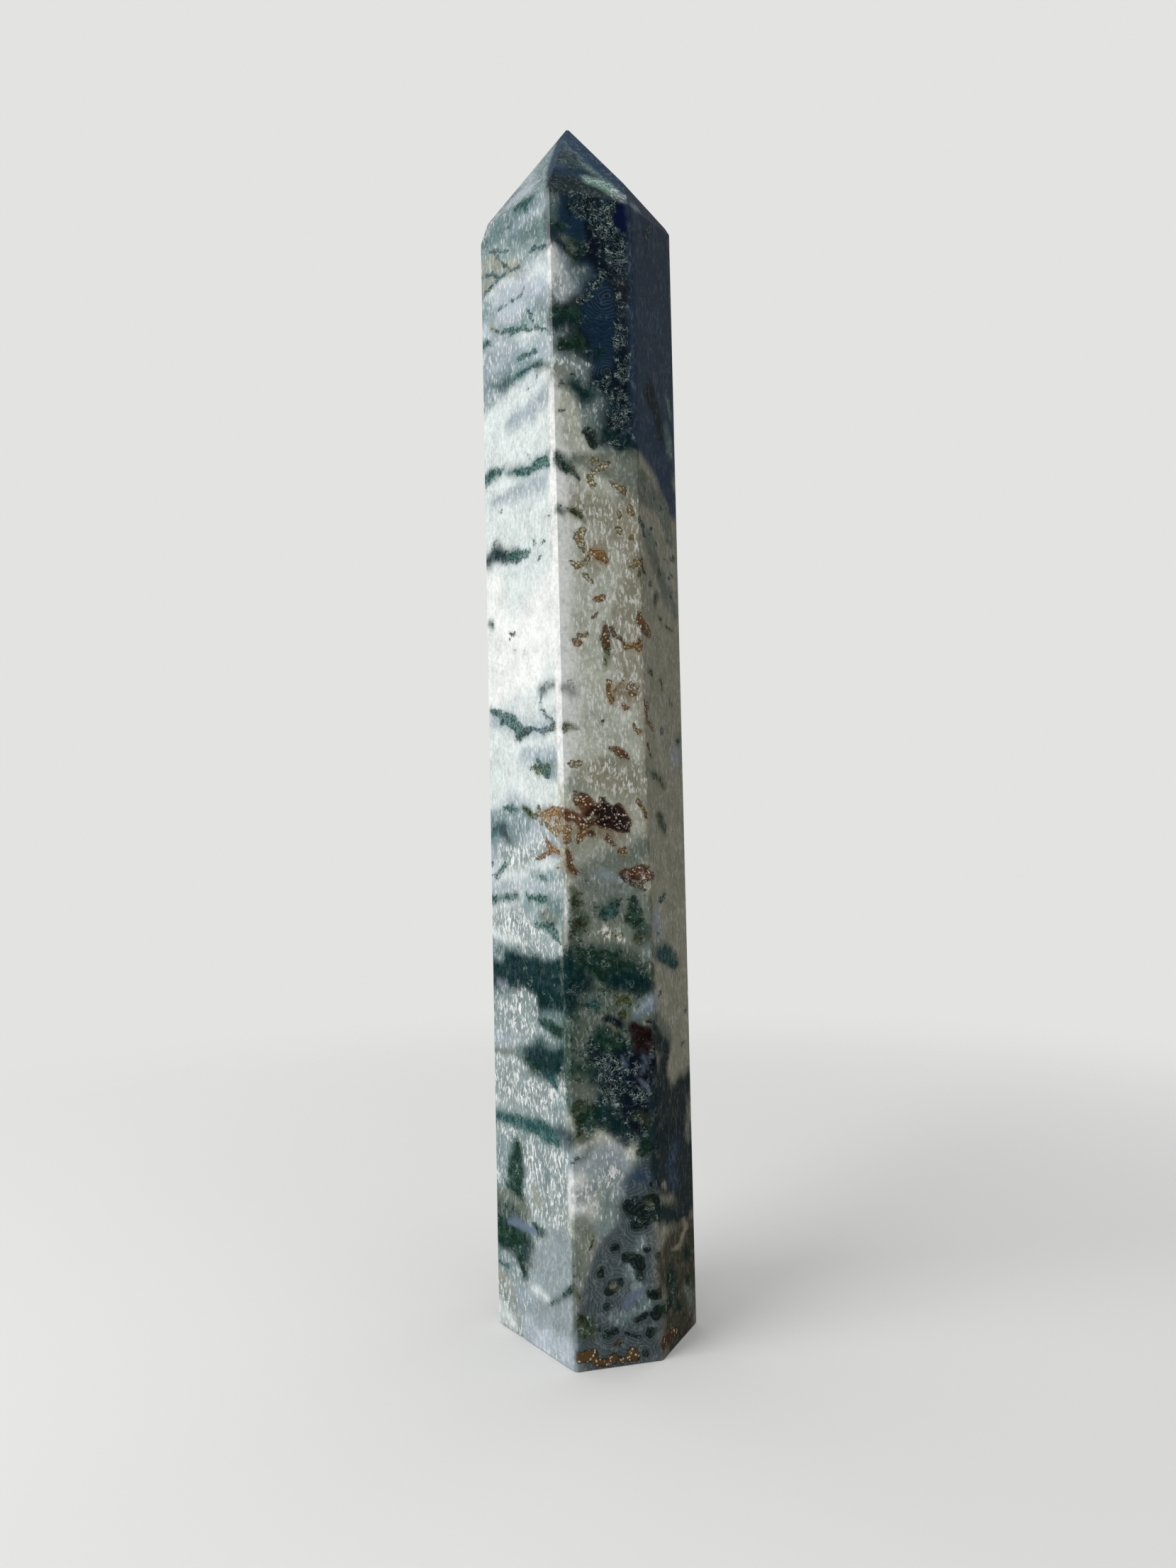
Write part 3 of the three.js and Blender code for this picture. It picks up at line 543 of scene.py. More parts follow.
    ("rust", (-0.4, 140, 0.5), (1.4, 139, 0.8), (3.4, 137.4, 1.3), (5.4, 135, 0.6)),
    ("gold", (-8.6, 136.8, 0.9), (-7, 136.6, 0.8)),
    ("beige", (-7, 132, 3), (0, 133, 5), (7, 131, 5)),
    ("tallow", (-3, 134, 3), (5, 132, 4)),
    # The iron and the quartz
    ("beige", (-7, 116, 6), (3, 114, 7)),
    ("moth", (-6, 110, 3), (0, 112, 3), (8, 117, 2.4)),
    ("halo", (-10, 125, 2.6), (-6, 124, 4.4), (-1, 122, 4), (3, 124, 2.6)),
    ("rust", (-11.4, 126.4, 0.8), (-8.8, 124.6, 0.9), (-7, 122.8, 1), (-4.8, 122.4, 0.7)),
    ("amber", (-10.8, 122.4, 1.1), (-10.8, 119.6, 0.8)),
    ("iron", (-7, 129.2, 0.9), (-5.6, 128.4, 0.8)),
    ("rust", (-6.8, 128.2, 1.3), (-5.4, 126.4, 1.4), (-6.4, 124, 1)),
    ("ivory", (-6.9, 129, 0.6)),
    ("iron", (-5.6, 124.6, 0.9), (-6.8, 123.2, 0.8), (-5.2, 122.2, 0.6)),
    ("ivory", (-6.4, 123.4, 0.5)),
    ("iron", (-1.6, 127.4, 0.5), (-1.6, 126, 0.7)),
    ("iron", (-4.4, 125.2, 0.9), (-1, 124.2, 2.4), (2.6, 123, 2.1), (1.4, 126, 1)),
    ("iron", (-3, 122, 0.9), (-0.4, 121.4, 0.8), (3.4, 121, 0.6)),
    ("amber", (-7.6, 119.4, 1), (-6.4, 121, 1)),
    ("rust", (-7.5, 119, 0.7)),
    ("iron", (-4.6, 120.4, 0.4), (-4.3, 119.9, 0.5)),
    ("rust", (-0.9, 118.6, 0.6), (0.6, 117.4, 0.5)),
    ("amber", (2.4, 116.2, 0.8), (3, 115.2, 0.6)),
    ("halo", (-10.4, 116, 1.6), (-9.6, 112, 1.2)),
    ("rust", (-10.4, 116.4, 0.5), (-9.8, 114.6, 0.6), (-9, 112.8, 0.8), (-7.8, 111.6, 0.5)),
    ("amber", (6.6, 127.4, 0.4), (7.6, 125.6, 0.3), (8.8, 123.4, 0.4)),
    ("rust", (2.8, 111, 0.7), (6, 112.2, 1), (9.4, 111.6, 1)),
    ("iron", (2.8, 110.4, 0.7), (5, 108.4, 0.6), (7.6, 107.4, 0.5)),
    ("ivory", (4.4, 110.4, 1), (7, 109.4, 1.5), (8.6, 110.6, 1)),
    ("rust", (5.8, 110.8, 0.7), (7.4, 110.4, 0.6)),
    ("haze", (-1, 108, 3), (3, 106, 2.6)),
    # The moss under them
    ("moth", (-4, 106, 4), (4, 104, 5), (9, 102, 4)),
    ("moth", (-9, 98, 5), (0, 97, 6), (8, 96, 5)),
    ("olive", (-9.2, 108, 1), (-8.8, 106, 1.4)),
    ("olive", (-9, 104.6, 2), (-8, 101, 2.8), (-9, 97, 2.4)),
    ("green", (-1.8, 103, 2.2), (0, 104.2, 1)),
    ("teal", (-1.4, 102.6, 1.4)),
    ("green", (4.4, 103.2, 2), (4.8, 101, 2.2), (7.4, 99.4, 1.4)),
    ("olive", (6, 96.8, 1.3), (8, 97.4, 1.4)),
    ("cream", (-2, 97.6, 1.3), (1, 96.6, 1.4)),
    # White along the left edge: white chalcedony and a painted glow of the light that comes through from the
    # lit left side.
    ("milk_and_glow", (-12, 105, 1.2), (-12, 96, 1)),
    ("glass", (-10, 88, 7), (2, 87, 7.6), (9, 86, 5), (-6, 76, 8), (5, 76, 8), (-9, 66, 7), (-7, 58, 5)),
    ("deep", (-10.4, 91, 3), (-9, 87.6, 4.4), (-10, 83.6, 3)),
    ("green", (-5, 91.6, 3), (-0.6, 90.4, 3.6), (3, 87.6, 3.2), (7, 86.4, 2)),
    ("deep", (1, 86.6, 2.4), (5, 86, 2.6), (7.4, 85.6, 1.4)),
    ("mist", (8.6, 93, 1.2), (9, 95, 1)),
    ("teal", (-4.8, 82, 1.3), (-4.4, 81, 1.2)),
    ("lichen", (0.6, 82.4, 0.9), (3.2, 82.4, 1.2)),
    ("haze", (4.6, 79.4, 0.5), (6.4, 80.4, 1.2), (9.4, 81.6, 2)),
    ("lavender", (3.4, 76.8, 0.2), (5.6, 79.4, 0.3), (7, 80, 0.5), (9.6, 81, 0.6)),
    ("moth", (8.2, 77.4, 1.5), (9.4, 78.4, 1)),
    ("iron", (8.2, 77.4, 0.4), (8.9, 77.6, 0.4)),
    ("lichen", (1.8, 79.2, 1), (2.6, 78, 0.7)),
    ("night", (-1.6, 76.8, 1.6), (0.6, 76.4, 1.2)),
    ("chip", (-1.4, 75.4, 0.3), (-0.6, 74.9, 0.4), (-0.2, 73.9, 0.4)),
    ("thicket", (-4, 71, 3.4), (0, 68, 6), (0, 60, 6), (2, 54, 5)),
    ("green", (-2.8, 73, 2.4), (0.6, 71.6, 2)),
    ("night", (3, 67, 4.6), (8, 65.4, 5), (6, 60, 5.4), (8, 55, 5)),
    ("wine", (4.4, 75.6, 1.8), (6.6, 73.4, 3), (8.6, 71.6, 2)),
    ("lavender", (6.6, 69.4, 0.25), (7.4, 67.4, 0.2), (6.8, 65, 0.25)),
    ("lavender", (9.6, 69.4, 0.25), (8, 68.4, 0.25)),
    ("lavender", (1.8, 69.4, 0.3), (2.8, 66.6, 0.3), (1.8, 64.6, 0.3)),
    ("lavender", (6.6, 63, 0.3), (7.4, 60.6, 0.3)),
    ("green", (-9, 68, 1.2), (-6, 66.4, 1.4)),
    ("lace", (-3.6, 69, 1.6), (0, 67, 2.2), (1.6, 62.6, 2)),
    ("lace", (4, 62, 1.4), (6.4, 58.6, 1.4)),
    ("mist", (-12, 68, 0.8), (-11.8, 61, 1)),
    ("moth", (-9, 62.6, 1.6), (-6, 61.6, 1.6)),
    ("olive", (-8.4, 57, 2.6), (-7.6, 53, 2.8)),
    ("green", (-7.6, 55.6, 2.2), (-3.6, 56, 2.6)),
    ("deep", (-2, 55.6, 2.6), (2, 53, 2.4)),
    ("night", (6, 55, 3.6), (9, 50, 3.6)),
    ("olive", (5.4, 55, 1.3), (7.4, 53.6, 1.2)),
    ("green", (8, 48.6, 2.8), (9, 44.6, 2.4)),
    ("haze", (-9, 46, 3.6), (-3, 45.4, 4)),
    ("haze", (0, 47, 2.4), (3, 44, 2.4)),
    ("paleblue", (1.6, 41, 3), (2, 37, 2.4)),
    # White along the left edge: white chalcedony and a painted glow of the light that comes through from the
    # lit left side.
    ("milk_and_glow", (-11.6, 41, 4.2), (-10.4, 37, 4)),
    ("quartz", (-9, 38, 2.2), (-3, 42, 3), (0.4, 42.4, 1.6)),
    ("olive", (-5.8, 49.4, 0.4), (-7.4, 47.6, 0.3), (-9.8, 46.6, 0.3)),
    # The blue chalcedony at the foot
    ("bluestone", (6.6, 43, 3), (4.8, 34, 5.8), (1.8, 27, 8), (0, 16, 9.4), (0, 5, 11)),
    ("mist", (-1.6, 38, 2), (-5, 32, 1.8)),
    ("moth", (-9, 32, 2.4), (-9.6, 22, 2.2)),
    ("mist", (6, 28, 1), (3, 20, 1), (6, 13, 0.9), (0, 11, 1)),
    ("moth", (-11, 18, 1.4), (-10.4, 13, 1.4)),
    ("lichen", (-6.6, 30.4, 0.5), (-6.4, 28, 0.5)),
    ("olive", (-11, 21, 0.6), (-10.6, 17, 0.8), (-9, 16.4, 0.8)),
    ("slate", (5.4, 41.4, 1.6), (8, 40, 1.6)),
    ("eye", (2.4, 34.4, 1.8), (5, 33.4, 3.2), (8.4, 34.4, 3)),
    ("lichen", (6.6, 35.4, 0.4), (7.6, 35.2, 0.4)),
    ("eye", (8.2, 39, 1)),
    ("eye", (-1, 26.6, 1.4)),
    ("eye", (-3.8, 20.8, 1)),
    ("eye", (2.4, 24.4, 1.5), (4.6, 23.6, 1.9), (5.2, 21.6, 1.3)),
    ("eye", (7, 25.9, 1)),
    ("eye", (5, 19.3, 1.2)),
    ("eye", (9.8, 24, 1.3)),
    ("eye", (-1.8, 17.8, 1.5), (0, 18.4, 1.1)),
    ("cream", (-1.4, 18.4, 0.3), (-0.2, 18, 0.3)),
    ("eye", (-2.2, 13.6, 1.2)),
    ("eye", (7.2, 15.6, 1.2), (8.8, 15.6, 1.5)),
    ("lavender", (2.4, 14.4, 1.2), (4, 15.6, 1.3)),
    ("eye", (8.4, 11.6, 1.6)),
    ("eye", (3.4, 10.2, 0.8), (5.6, 10.8, 1)),
    ("olive", (-8.4, 10.6, 2.2), (-7.4, 9.6, 2.2), (-8.6, 8, 1.4)),
    ("eye", (-3.4, 7.6, 1.2), (-1.2, 8.6, 1)),
    ("eye", (0.6, 7.2, 0.6)),
    ("eye", (2, 6.6, 0.5), (4, 6.6, 0.5)),
    ("eye", (6.8, 7.4, 1.2), (8, 8, 1)),
    ("bronze", (-9.2, 2.8, 1.4), (-7.6, 3.2, 1.3), (-6, 1.2, 0.8)),
    ("bronze", (-5, 1.4, 0.9), (-3.4, 1.6, 0.8), (-1.8, 2.2, 0.8)),
    ("bronze", (0, 1.4, 0.7), (2, 2.6, 1.4)),
    ("bronze", (-1.8, 5, 0.5), (-1.2, 5.4, 0.5)),
    ("eye", (5.2, 3, 0.9)),
]
RIGHT = [
    # The blue top
    ("slate", (0, 292, 13), (0, 224, 13)),
    ("slate", (-8, 214, 5.4), (4, 214, 9)),
    ("slate", (5, 206, 4), (9, 203, 4.6)),
    ("murk", (6.4, 221, 1.6), (9, 216, 2.4)),
    ("murk", (7.6, 229, 1), (9.4, 226, 1.4)),
    ("storm", (-3, 226, 3), (3, 218, 2)),
    ("haze", (-10, 270, 0.7), (-6, 271.2, 0.7)),
    ("lace", (-3.6, 270.6, 0.8), (-2.6, 271.6, 0.7)),
    ("lace", (-0.4, 269.4, 0.6), (-2.6, 267, 0.7), (-4.2, 264.6, 0.9)),
    # The pale middle with its small inclusions
    ("moth", (-9, 202, 3.4), (2, 200, 3.4), (8, 193, 2.4)),
    ("moth", (-6, 190, 2.4), (2, 181, 3), (8, 176, 2)),
    ("vein", (2.4, 199.6, 0.7), (3.2, 199.2, 0.5)),
    ("vein", (-10.6, 194, 1), (-9, 193, 0.9), (-8.8, 190.6, 0.8)),
    ("vein", (-5, 192.6, 0.6), (-3.4, 193.2, 0.5)),
    ("lichen", (4.8, 191.8, 0.7), (6, 192.6, 0.7)),
    ("vein", (-2, 189.6, 0.6), (-1.2, 189.5, 0.5)),
    ("vein", (7.4, 188.2, 0.5), (9, 188.4, 0.7)),
    ("vein", (3.4, 187.4, 0.5), (4, 187.6, 0.4)),
    ("lichen", (-0.8, 183.2, 0.7), (0.4, 183.4, 0.6)),
    ("vein", (5.6, 183.6, 0.6), (7.4, 183.6, 0.4)),
    ("rust", (-11, 184, 0.7), (-10.4, 182, 0.6)),
    ("lichen", (-10.4, 181.6, 0.8), (-8.6, 180.6, 0.6)),
    ("vein", (-6.8, 178.6, 0.5), (-5.4, 179.2, 0.5)),
    ("vein", (5.8, 179, 0.5), (6.8, 179.8, 0.5)),
    ("olive", (-3.6, 175.6, 0.9), (-2.2, 177, 1.1)),
    ("lichen", (-1.6, 172.8, 0.6), (0.6, 172.2, 0.6)),
    ("lichen", (3, 170.1, 0.5), (5.4, 169.8, 0.7), (7.6, 170.2, 0.5)),
    ("amber", (-11, 169.6, 0.8), (-8.6, 168.6, 0.9), (-7, 166.8, 0.8)),
    ("rust", (-11, 167.6, 0.5), (-8.6, 167.2, 0.5)),
    ("lichen", (-8.6, 158.6, 0.7), (-6.6, 158.4, 0.6)),
    ("lichen", (-0.8, 156.8, 0.8), (-0.2, 155.2, 0.4)),
    ("fern", (4.4, 152.4, 0.5), (5.4, 152.2, 0.5)),
    ("amber", (-11, 151.4, 0.5), (-10, 148, 0.5), (-9, 150.8, 0.4)),
    ("amber", (-10.6, 147, 0.5), (-7.6, 146, 0.7), (-6, 145, 0.4)),
    ("fern", (-1.8, 144.4, 0.7), (-1, 144.3, 0.6)),
    ("teal", (8.4, 142.2, 1.1), (9.6, 143, 1)),
    ("rust", (-10.4, 142, 0.3), (-8.2, 138.8, 0.3)),
    ("haze", (5, 138, 2), (9, 139, 1.6)),
    ("moth", (-11, 134.8, 0.8), (-6, 133.6, 1.2), (-1.4, 131.8, 1)),
    ("lichen", (-8, 133.8, 0.6), (-4.6, 133, 0.7), (-1.6, 131.8, 0.7)),
    ("moth", (-4.6, 124.6, 1), (-2.4, 122.4, 2.2)),
    ("olive", (-4, 124.4, 0.7), (-3, 122.8, 1.4), (-1.2, 121.2, 1)),
    ("rust", (-11, 110.6, 0.8), (-8.6, 110.4, 0.6)),
    ("fern", (-6, 104.4, 0.9), (-3, 105, 0.7), (-1.2, 105.6, 0.5)),
    ("haze", (-8, 101, 2), (-6, 97, 2)),
    ("fern", (-6.8, 97.4, 0.4), (-5, 97.4, 0.4)),
    ("moth", (-11, 94, 2), (-4, 92.4, 2.6), (2, 90, 2.2)),
    ("teal", (-7, 92.8, 1.4), (-2, 91.4, 2.2), (2.4, 88.8, 1.8), (4, 88, 1)),
    ("haze", (-10, 82, 1.4), (-8, 79, 1)),
    ("vein", (-7.4, 82, 0.7), (-6.4, 82.2, 0.5)),
    ("vein", (-8, 78.4, 0.5), (-7, 78.6, 0.4)),
    ("vein", (8.8, 76.6, 0.5), (9.6, 77.4, 0.6)),
    ("fern", (5.8, 68.4, 0.7), (6.4, 68.6, 0.6)),
    # The dark foot and its chips
    ("moth", (-9, 78, 1.6), (-6, 74.6, 2.8), (-3, 71, 2.4)),
    ("storm", (-10, 76, 1.6), (-8, 70.6, 3), (-4.4, 69, 2.4), (-8, 63, 4.4), (-3, 61, 2)),
    ("storm", (-8, 54, 7), (-1, 54, 7), (4, 56, 6), (8.6, 59, 3)),
    ("storm", (-6, 44, 8), (4, 42, 9), (6, 34, 8)),
    ("moth", (8, 55, 1.2), (8, 46, 1.8)),
    ("slate", (0, 46, 2), (-5, 42, 2), (-1, 37, 2)),
    ("deep", (-9, 33, 2.6), (-3, 30, 2.4), (0, 28, 1.4)),
    ("umber", (-4, 20, 7.4), (6, 20, 6.4), (0, 6, 10)),
    ("moth", (4, 12, 1.6), (8, 6, 2.6)),
    ("green", (-5.4, 18, 1.8), (-4, 15.2, 1.8)),
    ("green", (5.4, 12.6, 1.3), (6.6, 13.2, 1)),
    ("green", (-10, 11.6, 1.8), (-2, 12.4, 1.4)),
    ("green", (4, 18.6, 1.4), (6.6, 19, 1.6)),
    ("green", (-2, 9, 1.2), (-0.6, 8, 1.2)),
    ("chip", (-7.8, 38.6, 0.6), (-6.8, 38.8, 0.7), (-6.3, 37.8, 0.6)),
    ("chip", (-4, 22.6, 0.2), (-1.4, 22, 0.6), (0.6, 21.8, 0.8), (2.6, 23.4, 0.9), (5, 24.6, 1.1)),
    ("chip", (3.2, 27.6, 0.6), (3.8, 25.6, 0.9)),
    ("rust", (-10, 4.4, 1.2), (-6, 4, 1)),
    ("bronze", (-6.2, 4.4, 0.8), (-3.4, 3.2, 1.1)),
]
# What is painted, one after the other. The whole of a side comes before the markings that bend round an
# edge onto it, and the three sides behind come first: the same layers of stone run on through them.
# All that is painted, in its order: each side's base coats first, and those at the back before the others.
PAINTING = (
    ("back_left", [("smoke", (0, 0, 13), (0, 300, 13))]),
    ("back_right", [("frost", (0, 0, 19), (0, 300, 19))]),
    ("back", [("smoke", (0, 0, 13), (0, 300, 13))]),
    ("back_left", BACK_LEFT),
    ("back", BACK),
    ("back_right", BACK_RIGHT),
    ("left", [("frost", (0, 0, 19), (0, 300, 19)), ("silver", (0, -8, 22), (0, 82, 20))]),
    ("front", [("smoke", (0, 0, 13), (0, 300, 13))]),
    ("right", [("sand", (0, 0, 13), (0, 300, 13))]),
    ("left", LEFT),
    ("front", FRONT),
    ("right", RIGHT),
)

# How the markings wander from their dabs: (how far apart the bends are, how far they go), millimetres.
WANDERINGS = ((9.0, 1.5), (3.2, 0.7), (1.5, 0.3))
# The seed of those bends. Without one, Blender takes it from the clock.
WANDER_SEED = 3
# How much faster a marking ends where another side of the stone is nearer than its own.
DEPTH_WEIGHT = 4.0
# What every vertex holds before it is painted: how light the stone and what grows in it are, and how far
# away the nearest eye counts as being, in millimetres.
PLAIN_GROUND = 0.5
PLAIN_GROWTH = 0.1
NO_EYE = 30.0

# How large the patterns in the stone are, in millimetres, after the real ones: the clouds and the grain of
# the ground, the white fibres, the tufts that they gather in and the dashes, the ripples of the agate lines,
# the dark moss and its sprigs, the threads, the bushes that they fill and their tones, the lumps and beads
# of iron, the bends that all of them follow, and the waves of the polish.
SIZES = {
    "clouds": 5,
    "grain": 0.85,
    "fibres": 0.75,
    "tufts": 3.4,
    "dashes": 0.75,
    "ripples": 2.6,
    "moss": 1.9,
    "sprigs": 0.7,
    "wide threads": 1.5,
    "close threads": 0.8,
    "bushes": 2.4,
    "tones": 1.3,
    "lumps": 1.0,
    "beads": 0.55,
    "bends": 4,
    "waves": 3,
}
# How far the patterns are bent, and how high the waves of the polish are, in millimetres.
BEND_REACH = 2.4
WAVE_HEIGHT = 0.02
# How far the white fibres lean, in degrees, and what the coordinates of the fibres and of the dashes are
# multiplied by on each axis: less than 1 draws them out along it.
FIBRE_LEAN = 16
FIBRE_STRETCH = (1, 1, 0.34)
DASH_STRETCH = (1, 1, 0.28)
# How the short white dashes are turned, in radians.
DASH_TURNS = (0.3, 1.1, 2.2)
# The pale threads that wind through the moss, and how thick they are, as a share of their pattern.
THREADS = {"wide threads": 0.022, "close threads": 0.034}
# How far apart the agate lines are, in millimetres.
LINE_PITCH = 0.75
# The colours that the patterns add to the painted ones.
WHITE_FIBRE = "#FBFCFB"
WHITE_DASH = "#F6F7F2"
PALE_LINE = "#B9C6D2"
DIM_THREAD = "#35525A"
PALE_THREAD = "#A8BCB3"
# The last is a painted highlight: the glints on the iron's crystals, put into the colour.
PAINTED_IRON_GLINT = "#E6E0CB"
# The polish and the light in the stone: agate's index of refraction, how far light spreads in it, in
# millimetres, and the same spread for each of its colours.
AGATE_IOR = 1.54
LIGHT_SPREAD = 1.5
EVEN_SPREAD = (1.0, 1.0, 1.0)

# The camera, solved from the outline and the edges of the stone: where it stands in metres, how far it
# looks up and leans to one side in degrees, its lens and the height of its sensor in millimetres, and the
# nearest and the farthest that it sees in metres.
CAMERA_PLACE = (0.000441, -0.272119, 0.12303)
CAMERA_PITCH = 2.0186
CAMERA_ROLL = 1.1537
CAMERA_LENS = 24.966
SENSOR_HEIGHT = 36.0
CAMERA_SEES = (0.01, 20.0)

# The plain floor, in metres: its radius and how many corners it has, where it fades into the background
# (from, to, and how clear it is there), and the colour that it has in reflections.
FLOOR_RADIUS = 0.75
FLOOR_CORNERS = 96
FLOOR_FADE = (0.14, 0.46, 0.0, 1.0)
MIRRORED_FLOOR = "#404040"
# The key light and the top light: width and height, turn and rise in degrees, and how far away they are.
# The polished faces mirror only a share of the key light, and none of the top light. All lights face one
# point, given in metres.
KEY_PLACE = ((0.6, 0.8), 211, 22, 0.8)
TOP_PLACE = ((1.1, 1.1), 270, 90, 0.95)
MIRRORED_SHARE = 0.62
LIGHT_AIM = (0.0, 0.0, 0.14)


def linear(colour):
    """An sRGB colour, written as a hex value, in linear light."""
    shares = [int(colour[i:i + 2], 16) / 255 for i in (1, 3, 5)]
    return [c / 12.92 if c <= 0.04045 else ((c + 0.055) / 1.055) ** 2.4 for c in shares]


def outward(side):
    """The level direction that a side looks in, and the one to its right as seen from outside."""
    turn = radians(SIDES[side][0])
    out = Vector((cos(turn), sin(turn), 0))
    return out, Vector((-out.y, out.x, 0))


def ease(value):
    """Values from 0 to 1 that start and end softly."""
    value = np.clip(value, 0, 1)
    return value * value * (3 - 2 * value)


def cut(bm, faces, point, normal):
    """Cuts the faces along a plane, and returns the faces that they became."""
    geom = list({e for f in faces for e in f.edges} | {v for f in faces for v in f.verts}) + list(faces)
    slack = CUT_SLACK * MM
    result = bmesh.ops.bisect_plane(bm, geom=geom, dist=slack, plane_co=point, plane_no=normal)
    return [g for g in result["geom"] if isinstance(g, bmesh.types.BMFace)]


def spans(faces, way):
    """Each face with its lowest and highest reach along a direction."""
    reach = [(f, [v.co.dot(way) for v in f.verts]) for f in faces]
    return [(f, min(r), max(r)) for f, r in reach]


def cut_columns(bm, faces, way, pitch):
    """Cuts faces into strips of one width across a direction."""
    strips = spans(faces, way)
    place = min(low for _, low, _ in strips) + pitch
    while strips:
        crossed = [f for f, low, high in strips if low < place < high]
        strips = [s for s in strips if s[1] >= place]
        if crossed:
            strips += [s for s in spans(cut(bm, crossed, way * place, way), way) if s[1] + s[2] > 2 * place]
        place += pitch


def merged_copy():
    """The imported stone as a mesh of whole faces, its loose triangles merged."""
    bm = bmesh.new()
    bm.from_mesh(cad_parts["tower"].data)
    bmesh.ops.remove_doubles(bm, verts=bm.verts, dist=SAME_PLACE * MM)
    bmesh.ops.dissolve_limit(bm, angle_limit=radians(SAME_TURN), verts=bm.verts, edges=bm.edges)
    return bm


def side_planes(bm):
    """The two planes of each side, upright and on the point, as rows of normal and distance."""
    planes = {}
    low, high = FACET_RISE
    for side in SIDES:
        out, _ = outward(side)
        upright = [f for f in bm.faces if f.normal.dot(out) > TALL_SHARE]
        facets = [f for f in bm.faces if low < f.normal.z < high]
        facets = [f for f in facets if f.normal.xy.angle(out.xy) < radians(FACET_TURN)]
        largest = [max(faces, key=lambda f: f.calc_area()) for faces in (upright, facets)]
        planes[side] = [(f.normal.copy(), f.normal.dot(f.verts[0].co)) for f in largest]
    return planes


def round_edges(bm, width, segments):
    """Rounds the long edges between the large faces, as polishing does."""
    edges = [
        e for e in bm.edges
        if e.calc_length() > ROUNDED_LENGTH * MM
        and min(f.calc_area() for f in e.link_faces) > ROUNDED_AREA * MM * MM
        and e.calc_face_angle() > radians(ROUNDED_TURN)
    ]
    bmesh.ops.bevel(
        bm, geom=edges, offset=width, offset_type="OFFSET", segments=segments, profile=0.5,
        affect="EDGES", clamp_overlap=True, material=-1,
    )


def wander(places):
    """Moves the places, in millimetres, as the layers of the stone bend."""
    noise.seed_set(WANDER_SEED)
    moved = places.copy()
    for spacing, far in WANDERINGS:
        for i, place in enumerate(places / spacing):
            moved[i] += far * np.array(noise.noise_vector(Vector(place)))
    return moved


def dab_distance(along, height, depth, dabs):
    """How far every place is outside a run of round dabs, in millimetres."""
    ends = dabs[1:] if len(dabs) > 1 else dabs
    nearest = np.full(len(along), np.inf)
    for (a0, z0, r0), (a1, z1, r1) in zip(dabs, ends):
        run, rise = a1 - a0, z1 - z0
        length = run * run + rise * rise
        part = np.clip(((along - a0) * run + (height - z0) * rise) / length, 0, 1) if length else 0.0
        gap = np.sqrt((along - a0 - part * run) ** 2 + (height - z0 - part * rise) ** 2 + depth ** 2)
        nearest = np.minimum(nearest, gap - r0 - part * (r1 - r0))
    return nearest


def side_views(places, planes):
    """Every place as each side sees it: how far to the right, how high, and how much farther in than under
    the nearest side."""
    bent = wander(places)
    views = {}
    for side, ((tall, far), (slope, reach)) in planes.items():
        _, right = outward(side)
        depth = -np.maximum(places @ np.array(tall) - far / MM, places @ np.array(slope) - reach / MM)
        views[side] = [bent @ np.array(right), bent[:, 2], depth]
    nearest = np.min([view[2] for view in views.values()], axis=0)
    for view in views.values():
        view[2] = DEPTH_WEIGHT * (view[2] - nearest)
    return views


def paint(mesh, planes):
    """Paints the markings on the mesh's vertices: two colours, the five growths, and how far the nearest
    eye is, for the agate lines that follow its outline."""
    count = len(mesh.vertices)
    places = np.empty(count * 3)
    mesh.vertices.foreach_get("co", places)
    views = side_views(places.reshape(-1, 3) / MM, planes)
    ground = np.full((count, 3), PLAIN_GROUND)
    growth = np.full((count, 3), PLAIN_GROWTH)
    amounts = np.zeros((count, len(GROWTHS)))
    eye = np.full(count, NO_EYE)
    for side, markings in PAINTING:
        for kind, *dabs in markings:
            body, grown, edge, hide, thickness = STONE[kind]
            distance = dab_distance(*views[side], dabs)
            near = distance < edge / 2
            cover = ease(0.5 - distance[near] / edge)[:, None]
            ground[near] += cover * hide * (np.array(linear(body)) - ground[near])
            growth[near] += cover * (np.array(linear(grown)) - growth[near])
            amounts[near] += cover * (np.array(thickness) - amounts[near])
            if kind == "eye":
                eye = np.minimum(eye, distance)
    for name, values in (("ground", ground), ("growth", growth)):
        layer = mesh.attributes.new(name, "FLOAT_COLOR", "POINT")
        layer.data.foreach_set("color", np.column_stack([values, np.ones(count)]).ravel())
    for name, values in zip(GROWTHS + ("eye",), [*amounts.T, eye]):
        layer = mesh.attributes.new(name, "FLOAT", "POINT")
        layer.data.foreach_set("value", np.ascontiguousarray(values))


def scale(pattern):
    """The scale of a pattern on Object coordinates, which are metres, from its real size in millimetres."""
    return 1 / (SIZES[pattern] * MM)


def add(tree, kind, *inputs, out=0, **settings):
    """Adds a shader node with its settings and returns one of its outputs. Its inputs are values or links,
    given in the order of its sockets, or by name or number in one dict."""
    node = tree.nodes.new("ShaderNode" + kind)
    for name, value in settings.items():
        setattr(node, name, value)
    named = inputs[0] if inputs and isinstance(inputs[0], dict) else dict(enumerate(inputs))
    for name, value in named.items():
        if isinstance(value, bpy.types.NodeSocket):
            tree.links.new(value, node.inputs[name])
        else:
            node.inputs[name].default_value = value
    return node.outputs[out] if node.outputs else None


def rgba(colour):
    """An sRGB colour, written as a hex value, as a node's socket takes it."""
    return (*linear(colour), 1.0)


def empty_tree(owner):
    """The node tree of a new material or world, with no nodes in it yet."""
    owner.use_nodes = True
    owner.node_tree.nodes.clear()
    return owner.node_tree


